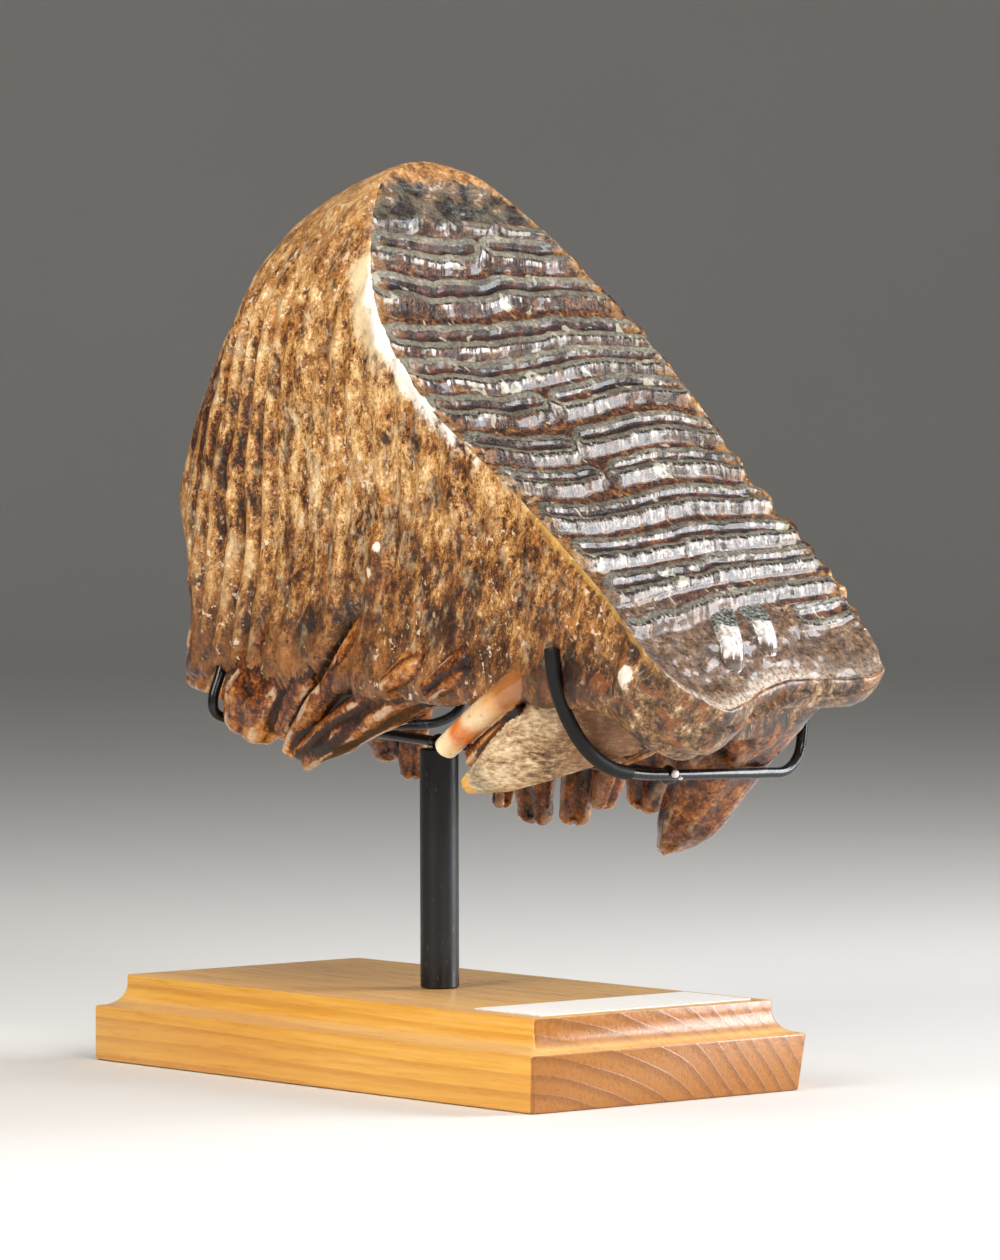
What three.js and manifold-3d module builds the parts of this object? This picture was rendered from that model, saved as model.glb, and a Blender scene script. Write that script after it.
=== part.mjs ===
// A fossil mammoth molar on its wood and steel display stand.
// Millimetres, +Z up. The origin is the middle of the base's underside, +X runs along the base towards
// the front of the tooth, and -Y is the near side, which the photograph shows.
import * as THREE from 'three';
import { mergeVertices } from 'three/addons/utils/BufferGeometryUtils.js';
import Module from 'manifold-3d';

const wasm = await Module();
wasm.setup();

// Stand
const BASE = { length: 200, width: 100, height: 25, band: 15.9, inset: 6.7, fillet: 2.7, arris: 0.7,
  coveSteps: 7 };
const LABEL = { width: 28.5, length: 77, thickness: 0.3, x: 74.3, y: 1 };
const POST = { radius: 5.55, x: 2.4, y: -2.7 };
const ROD_RADIUS = 1.5;
const ROD_SIDES = 8;
const ARM_STEPS = 30;
const SPINE = { y: POST.y, rearX: -50, rearZ: 98, frontX: 103.6, frontZ: 90.1, bead: 2.85, steps: 8 };
const SLEEVE = { inner: 1.68, outer: 2.0, share: 0.34, points: 7, steps: 10 };
const GAP = 0.3;
const ROUND_SIDES = 32;

// Cradle arms, from the tip on the near side to the tip on the far side
const FRONT_ARM = [
  [106.6, -48.4, 126], [106.5, -47.0, 117.5], [106.2, -42.6, 107.5], [105.7, -35.2, 98.4],
  [105.0, -26.0, 92.9], [104.3, -15.0, 90.8], [103.6, POST.y, 90.1], [102, 15, 89.6], [100.2, 34, 89.1],
  [99.3, 43.0, 89.4], [98.7, 48.0, 93.2], [98.5, 49.8, 100], [98.4, 50.4, 110], [98.3, 50.6, 121]];
const REAR_ARM = [
  [-50, -39.6, 119], [-50, -41.6, 113], [-50, -43.6, 107.6], [-50, -43.2, 103.4], [-50, -39.0, 101.4],
  [-50, -24, 100], [-50, POST.y, 98], [-48, 22, 97.4], [-46, 37, 98], [-45, 43.6, 101.6],
  [-44.6, 45.4, 108], [-44.4, 45.8, 119]];

// Crown. A place along the tooth is its x at the root line, on the middle line.
const REAR = -94.9;
const REAR_STEP = 1.6;
const FRONT = 147;
const REAR_END = { centre: -45, depth: 50, width: 42 };
const NEAR_WIDTH = [[-45, 42], [0, 44], [60, 46], [130, 46], [147, 44]];
const FAR_WIDTH = [[-45, 42], [0, 43], [50, 46.5], [85, 46.5], [105, 48], [125, 49], [142, 47], [147, 44]];
const DOME = [[-95, 205], [-90, 219], [-85, 229], [-75, 240], [-60, 250.5], [-45, 254.5], [-30, 258],
  [-15, 260.5], [-5, 261], [10, 259], [30, 256], [60, 250], [147, 240]];
const DOME_FALL = 61;
const WAIST = [[95, 0], [111, 0], [117, 2], [126, 7], [134, 6.5], [142, 4.5], [162, 0]];
const WAIST_FADE = { from: -50, length: 40 };
const REAR_LEAN = { from: 165, share: 0.4, length: 95 };
// The worn chewing face: its height on the middle line, and how much higher its far edge is
const WORN_FROM = -14;
const WORN = [[-14, 261], [-4, 256], [3, 248], [12, 236.5], [20, 225.5], [48, 197.5], [70, 180], [91, 164],
  [110, 149], [128, 134.5], [140, 124.5], [154, 113]];
const WORN_TILT = [[-10, 0], [3, 0], [14, 5], [34, 9], [50, 7], [70, 2], [91, -3], [110, -6], [128, -8],
  [142, -6], [154, -8]];
const DISH = { from: 118, length: 24, depth: 8 };
const SIDE_REACH = 46;
// The lower edge on each side, how far in it lies, and the roof of the hollow between the root rows
const NEAR_FOOT = [[-95, 111], [-82, 112], [-68, 118], [-48, 120], [-30, 114], [0, 110], [60, 109],
  [95, 110], [112, 108], [122, 101], [135, 97], [147, 98]];
const NEAR_INSET = [[-95, 0.93], [95, 0.93], [112, 0.85], [125, 0.6], [140, 0.5], [147, 0.5]];
const FAR_FOOT = [[-95, 111], [0, 108], [95, 109], [112, 108], [130, 110], [142, 113], [147, 114]];
const FAR_INSET = 0.93;
const SHOULDER = { rise: 8, more: 22 };
const ROOF = [[-95, 114], [-68, 121], [-45, 122], [-20, 118], [50, 118], [90, 113], [118, 110], [128, 99],
  [140, 98], [147, 100]];
const UNDERCUT = { from: 118, length: 30, depth: 15, height: 18 };
// Plates: the middle lines of those in the chewing face, and how the lines swing, bend and bow
const WORN_PLATES = [-4, 5.5, 13, 21.5, 33, 42.5, 53, 67, 79.5, 92.5, 104, 114.5, 123.5, 132, 140];
const REAR_PLATE_PITCH = 9;
const SWING = [[-20, 2], [33, 4], [60, 0], [92, -4.5], [122, -9], [135, -9], [147, -6]];
const BEND = [[-95, 0], [0, 0.5], [33, 1.6], [67, 2.8], [92, 1.3], [114, 0], [147, 0]];
const BOW = [[-95, 0], [60, 0], [92, -2], [114, -1.5], [130, -1.5], [147, -5]];
// The last two plates reach the face only on the far side, from these places on
const SHORT_PLATES = { 13: 19, 14: 23 };
const HALF_SPAN = 42;
const BEND_START = -40;
const RIDGE = { height: 1.1, groove: 0.66, offset: 0.22 };
const RIB = { near: 0.9, far: 1.5 };
const RIB_FADE = 18;
const RIM_WIDTH = 3.5;
const CAP_FADE = 15;
const CREASE_SHARE = 0.42;
const OUTLINE = { near: 6, top: 12, far: 6, under: 3 };
const FINE = 100;

// A smooth line through hand-picked [place, value] pairs, with no overshoot.
function course(pairs, at) {
  const last = pairs.length - 1;
  const x = Math.min(Math.max(at, pairs[0][0]), pairs[last][0]);
  let i = 0;
  while (i < last - 1 && x > pairs[i + 1][0]) i++;
  const rise = (k) => (pairs[k + 1][1] - pairs[k][1]) / (pairs[k + 1][0] - pairs[k][0]);
  const slope = (k) => {
    if (k === 0) return rise(0);
    if (k === last) return rise(last - 1);
    const product = rise(k - 1) * rise(k);
    return product <= 0 ? 0 : 2 * product / (rise(k - 1) + rise(k));
  };
  const width = pairs[i + 1][0] - pairs[i][0];
  const t = (x - pairs[i][0]) / width;
  return (2 * t ** 3 - 3 * t ** 2 + 1) * pairs[i][1] + (t ** 3 - 2 * t ** 2 + t) * width * slope(i)
    + (3 * t ** 2 - 2 * t ** 3) * pairs[i + 1][1] + (t ** 3 - t ** 2) * width * slope(i + 1);
}

const clamp01 = (value) => Math.min(Math.max(value, 0), 1);

function halfWidth(pairs, s) {
  if (s >= REAR_END.centre) return course(pairs, s);
  const back = (REAR_END.centre - s) / REAR_END.depth;
  return REAR_END.width * Math.sqrt(1 - back * back);
}

// How far forward a plate's line lies at y.
function wave(s, y) {
  const side = Math.min(Math.max(y, -SIDE_REACH), SIDE_REACH);
  return course(SWING, s) * side / HALF_SPAN
    + course(BEND, s) * Math.sin(Math.PI * (side - BEND_START) / HALF_SPAN)
    + course(BOW, s) * Math.cos(Math.PI * side / (2 * HALF_SPAN));
}

// Height of the worn face at a place and y.
function wornHeight(s, y) {
  if (s < WORN_FROM) return Infinity;
  const x = s + wave(s, y);
  const across = 1 - clamp01(Math.abs(y) / SIDE_REACH) ** 4;
  const dish = DISH.depth * clamp01((x - DISH.from) / DISH.length) ** 1.5 * across;
  return course(WORN, x) + course(WORN_TILT, x) * y / (2 * HALF_SPAN) - dish;
}

function domeHeight(s, y) {
  const width = halfWidth(y < 0 ? NEAR_WIDTH : FAR_WIDTH, s);
  const top = course(DOME, s);
  return top - DOME_FALL * (1 - Math.sqrt(Math.max(0, 1 - (y / width) ** 2)));
}

// A point of the crown in space, moved out by out millimetres square to the crown's side.
function place(s, y, z, out) {
  const lean = REAR_LEAN.share * clamp01(-s / REAR_LEAN.length) * Math.max(0, z - REAR_LEAN.from);
  const waist = course(WAIST, z) * clamp01((WAIST_FADE.from - s) / WAIST_FADE.length);
  const low = clamp01((wornHeight(s, y) - z) / UNDERCUT.height);
  const undercut = UNDERCUT.depth * clamp01((s - UNDERCUT.from) / UNDERCUT.length) * low;
  const back = Math.max(0, REAR_END.centre - s) / REAR_END.depth ** 2;
  const sideways = Math.sqrt(1 - Math.min(1, back * REAR_END.depth) ** 2) / REAR_END.width;
  const square = new THREE.Vector2(-back, Math.sign(y) * sideways).setLength(out);
  return new THREE.Vector3(s + wave(s, y) + lean + waist - undercut + square.x, y + square.y, z);
}

// One wall of the crown at a place, from its lower edge up to the rim, as [y, z] points.
function wall(s, side) {
  const near = side < 0;
  const width = halfWidth(near ? NEAR_WIDTH : FAR_WIDTH, s);
  const foot = course(near ? NEAR_FOOT : FAR_FOOT, s);
  const inset = near ? course(NEAR_INSET, s) : FAR_INSET;
  const shoulder = foot + SHOULDER.rise + SHOULDER.more * (FAR_INSET - inset);
  const points = [];
  for (let k = 0; k <= FINE; k++) {
    const turn = Math.PI / 2 * k / FINE;
    const share = inset + (1 - inset) * Math.sin(turn);
    points.push([side * width * share, foot + (shoulder - foot) * (1 - Math.cos(turn))]);
  }
  const sideTop = Math.max(course(DOME, s) - DOME_FALL, shoulder);
  for (let k = 1; k <= FINE; k++) {
    const z = shoulder + (sideTop - shoulder) * k / FINE;
    if (z > wornHeight(s, side * width)) return points;
    points.push([side * width, z]);
  }
  for (let k = 1; k <= FINE; k++) {
    const y = width * Math.cos(Math.PI / 2 * k / FINE);
    const z = domeHeight(s, side * y);
    if (y < width * CREASE_SHARE || z > wornHeight(s, side * y)) return points;
    points.push([side * y, z]);
  }
  return points;
}

// Spreads count points evenly along a line of [y, z] points, without its last point.
function spread(points, count) {
  const lengths = [0];
  for (let k = 1; k < points.length; k++) {
    const [y, z] = points[k - 1];
    lengths.push(lengths[k - 1] + Math.hypot(points[k][0] - y, points[k][1] - z));
  }
  const result = [];
  let k = 0;
  for (let n = 0; n < count; n++) {
    const at = lengths[lengths.length - 1] * n / count;
    while (lengths[k + 1] < at) k++;
    const t = (at - lengths[k]) / (lengths[k + 1] - lengths[k]);
    result.push([0, 1].map((c) => points[k][c] + (points[k + 1][c] - points[k][c]) * t));
  }
  return result;
}

// The closed outline of the crown at a place. phase is 0 on a plate's middle and 0.5 between plates, and
// the plate's ridges rise from y = from on.
function outline(s, phase, worn, from = -Infinity) {
  const rib = Math.cos(2 * Math.PI * phase) * clamp01((s - REAR) / RIB_FADE);
  const near = wall(s, -1);
  const far = wall(s, 1);
  const [startY] = near[near.length - 1];
  const [endY] = far[far.length - 1];
  const top = [];
  const under = [];
  for (let k = 0; k <= FINE; k++) {
    const t = k / FINE;
    const y = startY + (endY - startY) * t;
    top.push([y, Math.min(domeHeight(s, y), wornHeight(s, y))]);
    const edge = far[0][1] + (near[0][1] - far[0][1]) * t;
    const arch = 1 - Math.abs(2 * t - 1) ** 3;
    under.push([far[0][0] + (near[0][0] - far[0][0]) * t, edge + (course(ROOF, s) - edge) * arch]);
  }
  const enamel = Math.abs(phase) === RIDGE.offset ? RIDGE.height : -RIDGE.groove;
  const ridge = worn ? enamel : 0;
  const side = (points, count, depth) => spread(points, count)
    .map(([y, z], k) => place(s, y, z, depth * rib * Math.min(1, k / 2)));
  const nearWall = side(near, OUTLINE.near, RIB.near);
  const farWall = side(far, OUTLINE.far, RIB.far);
  const crest = spread(top, OUTLINE.top).map(([y, z]) => {
    const fade = worn ? RIM_WIDTH : CAP_FADE;
    const inside = clamp01((y - startY) / fade) * clamp01((endY - y) / fade);
    const out = (y < 0 ? RIB.near : RIB.far) * rib * (1 - inside);
    return place(s, y, z + ridge * inside * clamp01((y - from) / fade), out);
  });
  const rim = place(s, endY, top[top.length - 1][1], RIB.far * rib);
  const belly = spread(under, OUTLINE.under).map(([y, z]) => place(s, y, z, 0));
  return [...nearWall, ...crest, rim, ...farWall.slice(1).reverse(), ...belly];
}

// Closes a ring with a strip of triangles that climbs its two sides from the point at low.
function strip(count, low) {
  let right = (low + 1) % count;
  let left = (low + count - 1) % count;
  const index = [right, low, left];
  for (let k = 0; k < count - 3; k++) {
    const next = k % 2 ? (left + count - 1) % count : (right + 1) % count;
    if (k % 2) {
      index.push(right, left, next);
      left = next;
    } else {
      index.push(next, right, left);
      right = next;
    }
  }
  return index;
}

// Joins closed rings of points into one solid. A strip closes its first end, and a fan its last.
function loft(rings, low = 0) {
  const count = rings[0].length;
  const points = rings.flat();
  const index = strip(count, low);
  for (let r = 0; r + 1 < rings.length; r++) {
    for (let k = 0; k < count; k++) {
      const a = r * count + k;
      const b = r * count + (k + 1) % count;
      index.push(a, b, b + count, a, b + count, a + count);
    }
  }
  const lastRing = (rings.length - 1) * count;
  const middle = rings[rings.length - 1].reduce((sum, p) => sum.add(p), new THREE.Vector3());
  points.push(middle.divideScalar(count));
  for (let k = 0; k < count; k++) {
    index.push(points.length - 1, lastRing + k, lastRing + (k + 1) % count);
  }
  const geometry = new THREE.BufferGeometry();
  const places = points.flatMap((p) => [p.x, p.y, p.z]);
  geometry.setAttribute('position', new THREE.Float32BufferAttribute(places, 3));
  geometry.setIndex(index);
  return geometry;
}

function solid(geometry) {
  const bare = geometry.clone();
  bare.deleteAttribute('normal');
  bare.deleteAttribute('uv');
  const merged = mergeVertices(bare, 1e-4);
  const result = new wasm.Manifold(new wasm.Mesh({
    numProp: 3,
    vertProperties: Float32Array.from(merged.attributes.position.array),
    triVerts: Uint32Array.from(merged.index.array),
  }));
  return result.volume() < 0 ? turned(merged) : result;
}

function turned(merged) {
  const index = Array.from(merged.index.array);
  for (let k = 0; k < index.length; k += 3) [index[k], index[k + 1]] = [index[k + 1], index[k]];
  merged.setIndex(index);
  return solid(merged);
}

function shown(manifold) {
  const mesh = manifold.getMesh();
  const geometry = new THREE.BufferGeometry();
  geometry.setAttribute('position', new THREE.BufferAttribute(Float32Array.from(mesh.vertProperties), 3));
  geometry.setIndex(new THREE.BufferAttribute(Uint32Array.from(mesh.triVerts), 1));
  geometry.computeVertexNormals();
  return geometry;
}

// The crown: two places for each plate behind the chewing face, and four for each one in it
function crown() {
  const rings = [];
  const rearPlates = [];
  for (let s = WORN_PLATES[0] - REAR_PLATE_PITCH; s > REAR; s -= REAR_PLATE_PITCH) rearPlates.unshift(s);
  rings.push(outline(REAR, 0.5, false));
  for (const s of rearPlates) {
    rings.push(outline(Math.max(s - REAR_PLATE_PITCH / 2, REAR + REAR_STEP), 0.5, false));
    rings.push(outline(s, 0, false));
  }
  WORN_PLATES.forEach((s, k) => {
    const before = k ? (s - WORN_PLATES[k - 1]) : REAR_PLATE_PITCH;
    const after = k + 1 < WORN_PLATES.length ? WORN_PLATES[k + 1] - s : FRONT - s;
    for (const phase of [-0.5, -RIDGE.offset, 0, RIDGE.offset]) {
      const pitch = phase < 0 ? before : after;
      rings.push(outline(s + pitch * phase, phase, true, SHORT_PLATES[k]));
    }
  });
  rings.push(outline(FRONT, 0.5, true, SHORT_PLATES[WORN_PLATES.length - 1]));
  const lowest = rings[0].length - Math.ceil(OUTLINE.under / 2);
  return solid(loft(rings, lowest));
}

// Roots. Each has a path from inside the crown down to its tip, with its half breadth and half thickness
// at each point. broad is the way its breadth runs.
const VIEW = new THREE.Vector3(-0.771, 0.637, 0);
const ALONG = new THREE.Vector3(1, 0, 0);
const ROOTS = {
  rearFin: { path: [[-74, -19, 138], [-79, -22, 122], [-82, -24, 110]], size: [[10, 8], [8, 6], [6, 4]] },
  rearStrip: { path: [[-49, -30, 132], [-52, -33, 119], [-55, -35, 107]],
    size: [[4, 4], [3, 3], [2.2, 2.2]] },
  rearBundle: { path: [[-22, -31, 133], [-28, -34, 120], [-34, -36, 110], [-39, -36, 99]],
    size: [[15, 9], [15, 9], [14, 9], [8, 5]] },
  rearSecond: { path: [[0, -35, 134], [-8, -38, 120], [-17, -38, 108], [-27, -36, 98.5]],
    size: [[5, 5], [4.5, 4.5], [4, 4], [3, 3]] },
  ridge: { path: [[18, -36, 131], [9.5, -39, 121], [2, -39, 113.5], [-9, -38.5, 105.5], [-22, -37, 93]],
    size: [[5, 5], [4.4, 4.4], [4, 4], [4, 4], [2.8, 2.8]] },
  fluteHigh: { path: [[30, -36, 117], [19, -39, 110], [-1, -39, 101], [-16, -38, 92.5]],
    size: [[5, 5], [4, 4], [3.8, 3.8], [3, 3]] },
  fluteMiddle: { path: [[34, -35, 112], [22, -38.5, 106], [5, -39, 98.5], [-13, -38, 90.5]],
    size: [[5, 5], [4.4, 4.4], [4.2, 4.2], [3, 3]] },
  fluteLow: { path: [[34, -32, 113], [19, -36, 106], [5, -37.5, 100], [-5, -37.5, 95.5]],
    size: [[7, 7], [6, 6], [5, 5], [4, 4]] },
  fluteCore: { path: [[18, -31, 122], [4, -32, 108], [-9, -33, 97]], size: [[14, 8], [12, 7], [6, 5]] },
  stubRear: { path: [[52, -37, 125], [43, -41.5, 119.5], [34.5, -44.5, 114.5]],
    size: [[5.5, 5], [4.8, 4.5], [3.3, 3.3]] },
  stubFront: { path: [[74, -37, 126], [64, -41.5, 119.5], [53, -44.8, 113.5]],
    size: [[5.5, 5], [5, 4.5], [3.3, 3.3]] },
  peg: { path: [[87, -45, 115], [72, -46, 105.5], [59, -46, 97.5]],
    size: [[3.9, 3.9], [3.9, 3.9], [3.4, 3.4]] },
  pegLump: { path: [[84, -36, 110], [73, -39, 99], [65, -40, 94]], size: [[9, 8], [7, 6], [4, 4]] },
  wedge: { path: [[106, -24, 112], [97, -30, 106], [88, -37.5, 99], [78, -42.5, 92.5], [67.5, -45, 87.5]],
    size: [[16, 7.5], [13.5, 7], [10.5, 6.2], [7, 5.3], [2.6, 2.6]], broad: VIEW },
  wedgeNeighbour: { path: [[121, -14, 110], [112, -16.5, 102], [99.7, -17.6, 96]],
    size: [[5, 5], [4.5, 4], [3.3, 3]] },
  frontRoot: { path: [[108, 28.5, 112], [97.5, 28, 100], [88, 27.5, 90], [83, 26.7, 82], [78, 25, 75],
    [73.5, 25, 70.5], [68, 25.3, 67]],
    size: [[12, 18], [9.5, 16], [8, 14.8], [7.3, 12], [6, 9.6], [4.4, 6.4], [2.2, 2.4]] },
  farRear: { path: [[-74, 34, 120], [-74, 38, 102], [-74, 39, 87]], size: [[11, 8], [9, 7], [6, 4]] },
  farSecond: { path: [[-60, 36, 120], [-61, 39, 100], [-63, 40, 82]], size: [[7, 6], [6, 5], [3.5, 3]] },
  farThin: { path: [[-20, 38, 115], [-21, 40, 92], [-22, 41, 75]], size: [[6, 6], [4, 4], [2.5, 2.5]] },
  farThird: { path: [[-2, 38, 118], [-6, 41, 92], [-9, 43, 72]], size: [[11, 8], [9, 6], [5, 4]] },
  farFourth: { path: [[14, 38, 118], [11, 42, 92], [10, 44, 71]], size: [[9, 8], [7, 6], [4, 4]] },
  farFifth: { path: [[28, 38, 118], [25, 42, 92], [24, 43, 75]], size: [[7, 7], [5.5, 5], [3.5, 3]] },
  farSixth: { path: [[54, 36, 118], [50, 38, 95], [49, 38, 77]], size: [[13, 9], [10, 7], [5, 4]] },
};
const ROOT_RINGS = 5;
const ROOT_SIDES = 7;
// The last plate's two lone fingers of enamel, half sunk in the dish at the front
const FINGERS = {
  near: { path: [[124, -3.6, 131], [131.6, -7.2, 125.6], [137.5, -10.6, 118.5]],
    size: [[3.8, 4], [3.7, 4], [3, 3]] },
  far: { path: [[121, 11.4, 132.5], [130.6, 7.1, 127.2], [135.5, 3.2, 121]],
    size: [[3.4, 4], [3.3, 4], [2.6, 3]] },
};

function root({ path, size, broad }) {
  const curve = new THREE.CatmullRomCurve3(path.map((p) => new THREE.Vector3(...p)));
  const sizes = new THREE.SplineCurve(size.map((p) => new THREE.Vector2(...p)));
  const rings = [];
  for (let r = 0; r < ROOT_RINGS; r++) {
    const t = r / (ROOT_RINGS - 1);
    const middle = curve.getPoint(t);
    const tangent = curve.getTangent(t);
    const half = sizes.getPoint(t);
    const wide = broad ? tangent.clone().cross(broad) : ALONG.clone().addScaledVector(tangent, -tangent.x);
    wide.normalize();
    const deep = tangent.clone().cross(wide);
    const ring = [];
    for (let k = 0; k < ROOT_SIDES; k++) {
      const turn = 2 * Math.PI * k / ROOT_SIDES;
      ring.push(middle.clone().addScaledVector(wide, half.x * Math.cos(turn))
        .addScaledVector(deep, half.y * Math.sin(turn)));
    }
    rings.push(ring);
  }
  return solid(loft(rings));
}

function route(points) {
  return new THREE.CatmullRomCurve3(points.map((p) => new THREE.Vector3(...p)), false, 'centripetal');
}

// A round bar of the given radius along points chosen by hand.
function bar(points, radius, steps, hollow = 0) {
  const section = new THREE.Shape().absarc(0, 0, radius, 0, 2 * Math.PI);
  if (hollow) section.holes.push(new THREE.Path().absarc(0, 0, hollow, 0, 2 * Math.PI, true));
  const curve = route(points);
  return new THREE.ExtrudeGeometry(section, { extrudePath: curve, steps, curveSegments: ROD_SIDES / 2 });
}

// The sleeve follows the near end of the front arm
const SLEEVE_ROUTE = Array.from({ length: SLEEVE.points }, (_, k) => {
  const share = SLEEVE.share * k / (SLEEVE.points - 1);
  return route(FRONT_ARM).getPointAt(share).toArray();
});

function molar() {
  let tooth = crown();
  for (const shape of [...Object.values(ROOTS), ...Object.values(FINGERS)]) tooth = tooth.add(root(shape));
  for (const arm of [FRONT_ARM, REAR_ARM]) {
    tooth = tooth.subtract(solid(bar(arm, ROD_RADIUS + GAP, ARM_STEPS)));
  }
  tooth = tooth.subtract(solid(bar(SLEEVE_ROUTE, SLEEVE.outer + GAP, SLEEVE.steps)));
  return shown(tooth);
}

// The base: its moulded side profile, as how far in and how high, carried round a rectangle
function base() {
  const { length, width, height, band, inset, fillet, arris, coveSteps } = BASE;
  const profile = [[arris, 0], [0, arris], [0, band - arris], [arris, band]];
  for (let k = coveSteps - 1; k >= 0; k--) {
    const turn = Math.PI / 2 * k / coveSteps;
    const coveTop = height - fillet;
    profile.push([arris + (inset - arris) * Math.cos(turn), coveTop - (coveTop - band) * Math.sin(turn)]);
  }
  profile.push([inset, height]);
  const rings = profile.map(([inward, z]) => {
    const x = length / 2 - inward;
    const y = width / 2 - inward;
    return [[-x, -y], [x, -y], [x, y], [-x, y]].map((p) => new THREE.Vector3(...p, z));
  });
  return shown(solid(loft(rings)));
}

function label() {
  return new THREE.BoxGeometry(LABEL.width, LABEL.length, LABEL.thickness);
}

// The spine bar's middle height at x
function spineHeight(x) {
  const t = (x - SPINE.rearX) / (SPINE.frontX - SPINE.rearX);
  return SPINE.rearZ + (SPINE.frontZ - SPINE.rearZ) * t;
}

function post() {
  const top = spineHeight(POST.x) - ROD_RADIUS - GAP;
  const height = top - BASE.height;
  const geometry = new THREE.CylinderGeometry(POST.radius, POST.radius, height, ROUND_SIDES);
  geometry.rotateX(Math.PI / 2);
  geometry.translate(POST.x, POST.y, BASE.height + height / 2);
  return geometry;
}

// The spine bar with its weld beads, cut back from the arms and the post
function spineBar() {
  const end = (x) => [x, SPINE.y, spineHeight(x)];
  let result = solid(bar([end(SPINE.rearX), end(POST.x), end(SPINE.frontX)], ROD_RADIUS, SPINE.steps));
  for (const x of [SPINE.rearX + ROD_RADIUS, POST.x, SPINE.frontX - ROD_RADIUS]) {
    const bead = new THREE.SphereGeometry(SPINE.bead, 8, 6);
    bead.translate(...end(x));
    result = result.add(solid(bead));
  }
  const seat = new THREE.CylinderGeometry(POST.radius + GAP, POST.radius + GAP, POST.radius, ROUND_SIDES);
  seat.rotateX(Math.PI / 2);
  seat.translate(POST.x, POST.y, spineHeight(POST.x) - ROD_RADIUS - POST.radius / 2);
  result = result.subtract(solid(seat));
  for (const arm of [FRONT_ARM, REAR_ARM]) {
    result = result.subtract(solid(bar(arm, ROD_RADIUS + GAP, ARM_STEPS)));
  }
  return shown(result);
}

function sleeve() {
  return bar(SLEEVE_ROUTE, SLEEVE.outer, SLEEVE.steps, SLEEVE.inner);
}

const bone = new THREE.MeshStandardMaterial({ color: 0xa87a48, roughness: 0.55, metalness: 0 });
const timber = new THREE.MeshStandardMaterial({ color: 0xd79a4a, roughness: 0.45, metalness: 0 });
const paper = new THREE.MeshStandardMaterial({ color: 0xeceae4, roughness: 0.8, metalness: 0 });
const blackSteel = new THREE.MeshStandardMaterial({ color: 0x141416, roughness: 0.35, metalness: 0.8 });
const blackPlastic = new THREE.MeshStandardMaterial({ color: 0x0e0e10, roughness: 0.7, metalness: 0 });

const stand = new THREE.Group();
const display = new THREE.Group();

function add(parent, name, geometry, material) {
  const mesh = new THREE.Mesh(geometry, material);
  mesh.name = name;
  parent.add(mesh);
  return mesh;
}

add(stand, 'base', base(), timber);
add(stand, 'label', label(), paper).position.set(LABEL.x, LABEL.y, BASE.height + LABEL.thickness / 2);
add(stand, 'post', post(), blackSteel);
add(stand, 'spine_bar', spineBar(), blackSteel);
add(stand, 'front_arm', bar(FRONT_ARM, ROD_RADIUS, ARM_STEPS), blackSteel);
add(stand, 'rear_arm', bar(REAR_ARM, ROD_RADIUS, ARM_STEPS), blackSteel);
add(stand, 'front_arm_sleeve', sleeve(), blackPlastic);
add(display, 'molar', molar(), bone);
display.add(stand);

export default display;
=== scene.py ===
"""A fossil mammoth molar on its wood and steel display stand."""

import math

import bpy
import numpy as np
from mathutils import Matrix, Vector
from mathutils.bvhtree import BVHTree
from mathutils.kdtree import KDTree


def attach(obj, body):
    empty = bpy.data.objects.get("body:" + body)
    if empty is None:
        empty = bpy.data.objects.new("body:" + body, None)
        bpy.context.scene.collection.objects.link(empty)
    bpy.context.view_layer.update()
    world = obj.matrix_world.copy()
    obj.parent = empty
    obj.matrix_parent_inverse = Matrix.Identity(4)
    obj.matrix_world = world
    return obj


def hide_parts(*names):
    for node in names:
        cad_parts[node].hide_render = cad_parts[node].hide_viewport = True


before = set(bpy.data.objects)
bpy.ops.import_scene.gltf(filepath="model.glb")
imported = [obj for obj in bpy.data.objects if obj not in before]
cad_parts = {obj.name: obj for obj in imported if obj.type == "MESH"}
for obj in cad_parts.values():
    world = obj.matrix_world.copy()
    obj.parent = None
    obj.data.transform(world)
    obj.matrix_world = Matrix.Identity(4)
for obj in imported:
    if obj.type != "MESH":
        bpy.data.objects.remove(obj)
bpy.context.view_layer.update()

# The forms are worked out in millimetres, and MM scales them as each mesh is made.
MM = 0.001

# Camera and picture
IMAGE_LONG_SIDE = 1260
CAMERA = {"place": (1.4404, -1.16754, 0.19079), "yaw": -50.45, "pitch": -1.97, "roll": -0.17, "focal": 6500}

# Floor and the wall that it curves into, in metres
FLOOR = {"flat": 3.0, "curve": 1.5, "wall": 4.5, "sides": 64, "drop": -0.0002}

# Stand
BASE = {"length": 200, "width": 100, "height": 25, "band": 15.9, "inset": 6.7, "fillet": 2.7, "arris": 0.7,
        "corner": 0.9, "top_ease": 0.4}
LABEL = {"width": 28.5, "length": 77, "thickness": 0.3, "x": 74.3, "y": 1, "corner": 0.6, "lift": 0.02}
POST = {"radius": 5.55, "x": 2.4, "y": -2.7}
ROD_RADIUS = 1.5
ROD_POINTS = 110
SPINE = {"y": -2.7, "rear": (-50, 98), "front": (103.6, 90.1)}
SLEEVE = {"inner": 1.68, "outer": 2.0, "share": 0.34}
GAP = 0.3
FRONT_ARM = [
    (106.6, -48.4, 126), (106.5, -47.0, 117.5), (106.2, -42.6, 107.5), (105.7, -35.2, 98.4),
    (105.0, -26.0, 92.9), (104.3, -15.0, 90.8), (103.6, -2.7, 90.1), (102, 15, 89.6), (100.2, 34, 89.1),
    (99.3, 43.0, 89.4), (98.7, 48.0, 93.2), (98.5, 49.8, 100), (98.4, 50.4, 110), (98.3, 50.6, 121)]
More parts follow.
